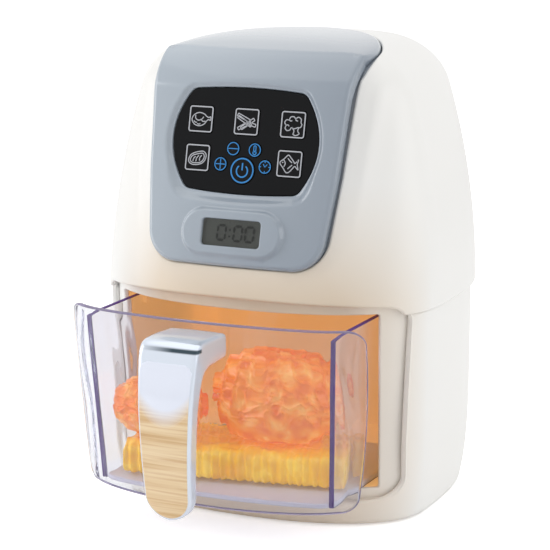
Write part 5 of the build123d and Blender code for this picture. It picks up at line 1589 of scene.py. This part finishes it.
FRIES_W, FRIES_D, FRIES_H, FRIES_Y, FRIES_TURN = 48.4, 21.7, 15.6, -55.4, 9.4
FRIES_GAP, FRIES_SIDE_POWER, FRIES_TOP_POWER = 0.25, 0.34, 0.42
RIB_PITCH, RIB_DEPTH, RIB_HEIGHT, RIB_WANDER = 3.7, 1.1, 0.35, 0.8
STICK_RISE, SWELL, END_ROUND, END_RUN = 1.2, 0.5, 1.5, 1.6
FOOD_GAP, FRIES_TOP = 0.3, 16.2
FOLD_W, FOLD_H = 7.0, 6.5
FOLD, WRINKLE, LUMP, SMOOTH_SHARE = 1.2, 0.45, 1.3, 0.12
FOLD_PACE, WRINKLE_PACE, LUMP_PACE, CREST = 1.25, 3.1, 0.55, 2.2
FOLD_SHIFTS, SHIFT_PACE, SHIFT = ((0, 0, 0), (7, 3, 1), (2, 8, 5)), 0.6, 1.1
WRINKLE_AT, LUMP_AT = Vector((4, 4, 4)), Vector((1, 9, 2))
ROUGH_FROM, ROUGH_RUN = 0.55, 0.35
REST_BLEND, REST_RUN = 1.5, 6


def cube_grid(count):
    """Points and quads on a cube's six sides, spaced so that they lie evenly on a sphere."""
    index, points, faces = {}, [], []
    for axis in range(3):
        for sign in (-1, 1):
            for i in range(count):
                for j in range(count):
                    quad = []
                    for a, b in ((0, 0), (1, 0), (1, 1), (0, 1)):
                        p = [0, 0, 0]
                        p[axis] = sign * count
                        p[(axis + 1) % 3] = 2 * (i + a) - count
                        p[(axis + 2) % 3] = 2 * (j + b) - count
                        key = tuple(p)
                        if key not in index:
                            index[key] = len(points)
                            points.append(key)
                        quad.append(index[key])
                    faces.append(tuple(quad if sign > 0 else quad[::-1]))
    return np.tan(np.array(points, float) / count * pi / 4), faces


def make_chicken(name, node, centre, radii, power, seed):
    """Lump of play chicken: folded skin on its upper part, smooth below, flat where it rests."""
    cube, faces = cube_grid(84)
    size = (np.abs(cube) ** power).sum(axis=1) ** (-1 / power)
    base = cube * size[:, None]
    direction = unit(base)
    folds = []
    for p in base * np.array(radii):
        q = Vector((p[0] / FOLD_W + seed, p[1] / FOLD_W, p[2] / FOLD_H))
        turn = Vector([noise.noise(q * SHIFT_PACE + Vector(shift)) for shift in FOLD_SHIFTS])
        q = q + turn * SHIFT
        ridge = 1 - abs(noise.noise(q * FOLD_PACE)) * CREST
        small = 1 - abs(noise.noise(q * WRINKLE_PACE + WRINKLE_AT)) * CREST
        lump = noise.noise(q * LUMP_PACE + LUMP_AT)
        folds.append((FOLD * ridge * abs(ridge) + WRINKLE * small, lump))
    fold, lump = np.array(folds).T
    rough_part = smooth((base[:, 2] + ROUGH_FROM) / ROUGH_RUN)
    push = fold * (SMOOTH_SHARE + (1 - SMOOTH_SHARE) * rough_part) + LUMP * lump - LUMP
    points = base * np.array(radii) + direction * push[:, None] + np.array(centre)
    floor = BASKET_BOTTOM_Z + BASKET_T + FOOD_GAP + FRIES_TOP
    z = points[:, 2]
    rest = floor + REST_BLEND * np.exp((z - floor - REST_BLEND) / REST_RUN)
    points[:, 2] = np.where(z < floor + REST_BLEND, rest, z)
    add_piece(name, (points, faces), "drawer", node)


def make_fries():
    """Slab of crinkle-cut fries: ribs down its front and back, sticks along its top."""
    low = BASKET_BOTTOM_Z + BASKET_T + FRIES_GAP
    rings = []
    turn = radians(FRIES_TURN)
    for x in np.linspace(-FRIES_W, FRIES_W, 400):
        end = min(1.0, (FRIES_W - abs(x)) / END_RUN)
        end = sqrt(max(0.0, 1 - (1 - end) ** 2))
        wander = RIB_WANDER * noise.noise(Vector((x * 0.07, 3, 1)))
        rib = 0.5 - 0.5 * cos(2 * pi * (x + wander) / RIB_PITCH)
        swell = noise.noise(Vector((x * 0.08, 1.0, 5.0)))
        depth = FRIES_D - RIB_DEPTH * rib + SWELL * swell - END_ROUND * (1 - end)
        half = (FRIES_H / 2 - RIB_HEIGHT * rib) - END_ROUND * (1 - end)
        loop = []
        for a in np.linspace(0, 2 * pi, 96, endpoint=False):
            c, s = cos(a), sin(a)
            y = np.sign(c) * abs(c) ** FRIES_SIDE_POWER * depth
            z = np.sign(s) * abs(s) ** FRIES_TOP_POWER * half
            if s > 0:
                z += STICK_RISE * noise.noise(Vector((x * 0.10, y * 0.22, 2.0))) * s**0.3
            loop.append((x * cos(turn) - y * sin(turn), FRIES_Y + x * sin(turn) + y * cos(turn),
                         low + FRIES_H / 2 + z))
        rings.append(np.array(loop))
    add_piece("fries_slab", rings_solid(rings), "drawer", "food_fries")


# Stage, light and camera

FLOOR_LIFT, FLOOR_LIFT_THROUGH = 0.46, 0.10
WORLD_LIGHT, OTHER_RAYS = 0.34, 0.5
CAMERA_AT, CAMERA_TARGET = (0.4045, -0.8909, 0.3014), (0.0, -0.0235, 0.101)
LENS, SENSOR_W = 144.0, 36.0


def seen_directly(tree):
    """1 for camera, glossy and transmission rays, and OTHER_RAYS for the rest."""
    value = OTHER_RAYS
    for kind in ("Is Camera Ray", "Is Glossy Ray", "Is Transmission Ray"):
        value = math_node(tree, "MAXIMUM", add_node(tree, "LightPath", output=kind), value)
    return value


def make_stage():
    """Pale floor, and a world that is white to the camera."""
    bpy.ops.mesh.primitive_plane_add(size=6.0, location=(0, 0, 0))
    floor = bpy.context.object
    floor.name = "floor"
    made, tree, surface = new_material("floor_pale")
    pale = [(0.3, rgb(250, 250, 250)), (0.7, rgb(253, 253, 253))]
    camera = add_node(tree, "LightPath", output="Is Camera Ray")
    through = range_node(tree, seen_directly(tree), 0.0, FLOOR_LIFT_THROUGH)
    lift = math_node(tree, "MULTIPLY_ADD", camera, FLOOR_LIFT - FLOOR_LIFT_THROUGH, through)
    feed(tree, surface, {
        "Base Color": ramp_node(tree, noise_node(tree, 40), pale),
        "Roughness": 0.85,
        "Specular IOR Level": 0.1,
        "Emission Color": WHITE,
        "Emission Strength": lift,
    })
    floor.data.materials.append(made)
    world = bpy.data.worlds.new("studio")
    bpy.context.scene.world = world
    world.use_nodes = True
    tree = world.node_tree
    lit, seen = tree.nodes["Background"], add_node(tree, "Background", {"Color": WHITE})
    feed(tree, lit.inputs, {"Color": WHITE, "Strength": WORLD_LIGHT})
    mix = add_node(tree, "MixShader", {0: seen_directly(tree), 1: lit.outputs[0], 2: seen})
    feed(tree, tree.nodes["World Output"].inputs, {"Surface": mix})


def place_holder(name, data, place, target):
    """Object for a lamp or the camera, turned towards its target."""
    holder = bpy.data.objects.new(name, data)
    bpy.context.scene.collection.objects.link(holder)
    holder.location = place
    holder.rotation_euler = (Vector(target) - Vector(place)).to_track_quat("-Z", "Y").to_euler()
    return holder


def add_lamp(name, place, target, size, power, height=None):
    lamp = bpy.data.lights.new(name, "AREA")
    lamp.shape = "RECTANGLE"
    lamp.size, lamp.size_y = size, height or size
    lamp.energy = power
    place_holder(name, lamp, place, target)


def make_lights():
    add_lamp("overhead", (0.0, 0.1, 1.3), (0, 0, 0.1), 1.5, 4.2)
    add_lamp("left_strip", (-1.05, -0.62, 0.45), (0, 0, 0.12), 0.7, 5.0, height=1.0)
    add_lamp("right_soft", (1.3, 0.05, 0.5), (0, 0, 0.1), 0.9, 2.8)


def make_camera():
    lens = bpy.data.cameras.new("camera")
    lens.lens, lens.sensor_width = LENS, SENSOR_W
    bpy.context.scene.camera = place_holder("camera", lens, CAMERA_AT, CAMERA_TARGET)


make_upper_casing()
make_lower_casing()
make_recess()
make_battery_cover()
make_control_panel()
make_touch_plate()
make_key_prints()
make_digits()
make_drawer_plate()
make_drawer_tub()
make_handle()
make_chicken("chicken_right", "food_chicken_right", (16.5, -54.0, 54.5), (28.5, 20.0, 21.0), 2.7, 3.0)
make_chicken("chicken_left", "food_chicken_left", (-33.0, -71.0, 49.0), (20.0, 17.0, 14.0), 2.4, 11.0)
make_fries()
make_stage()
make_lights()
make_camera()
bpy.context.scene.view_settings.view_transform = "Standard"
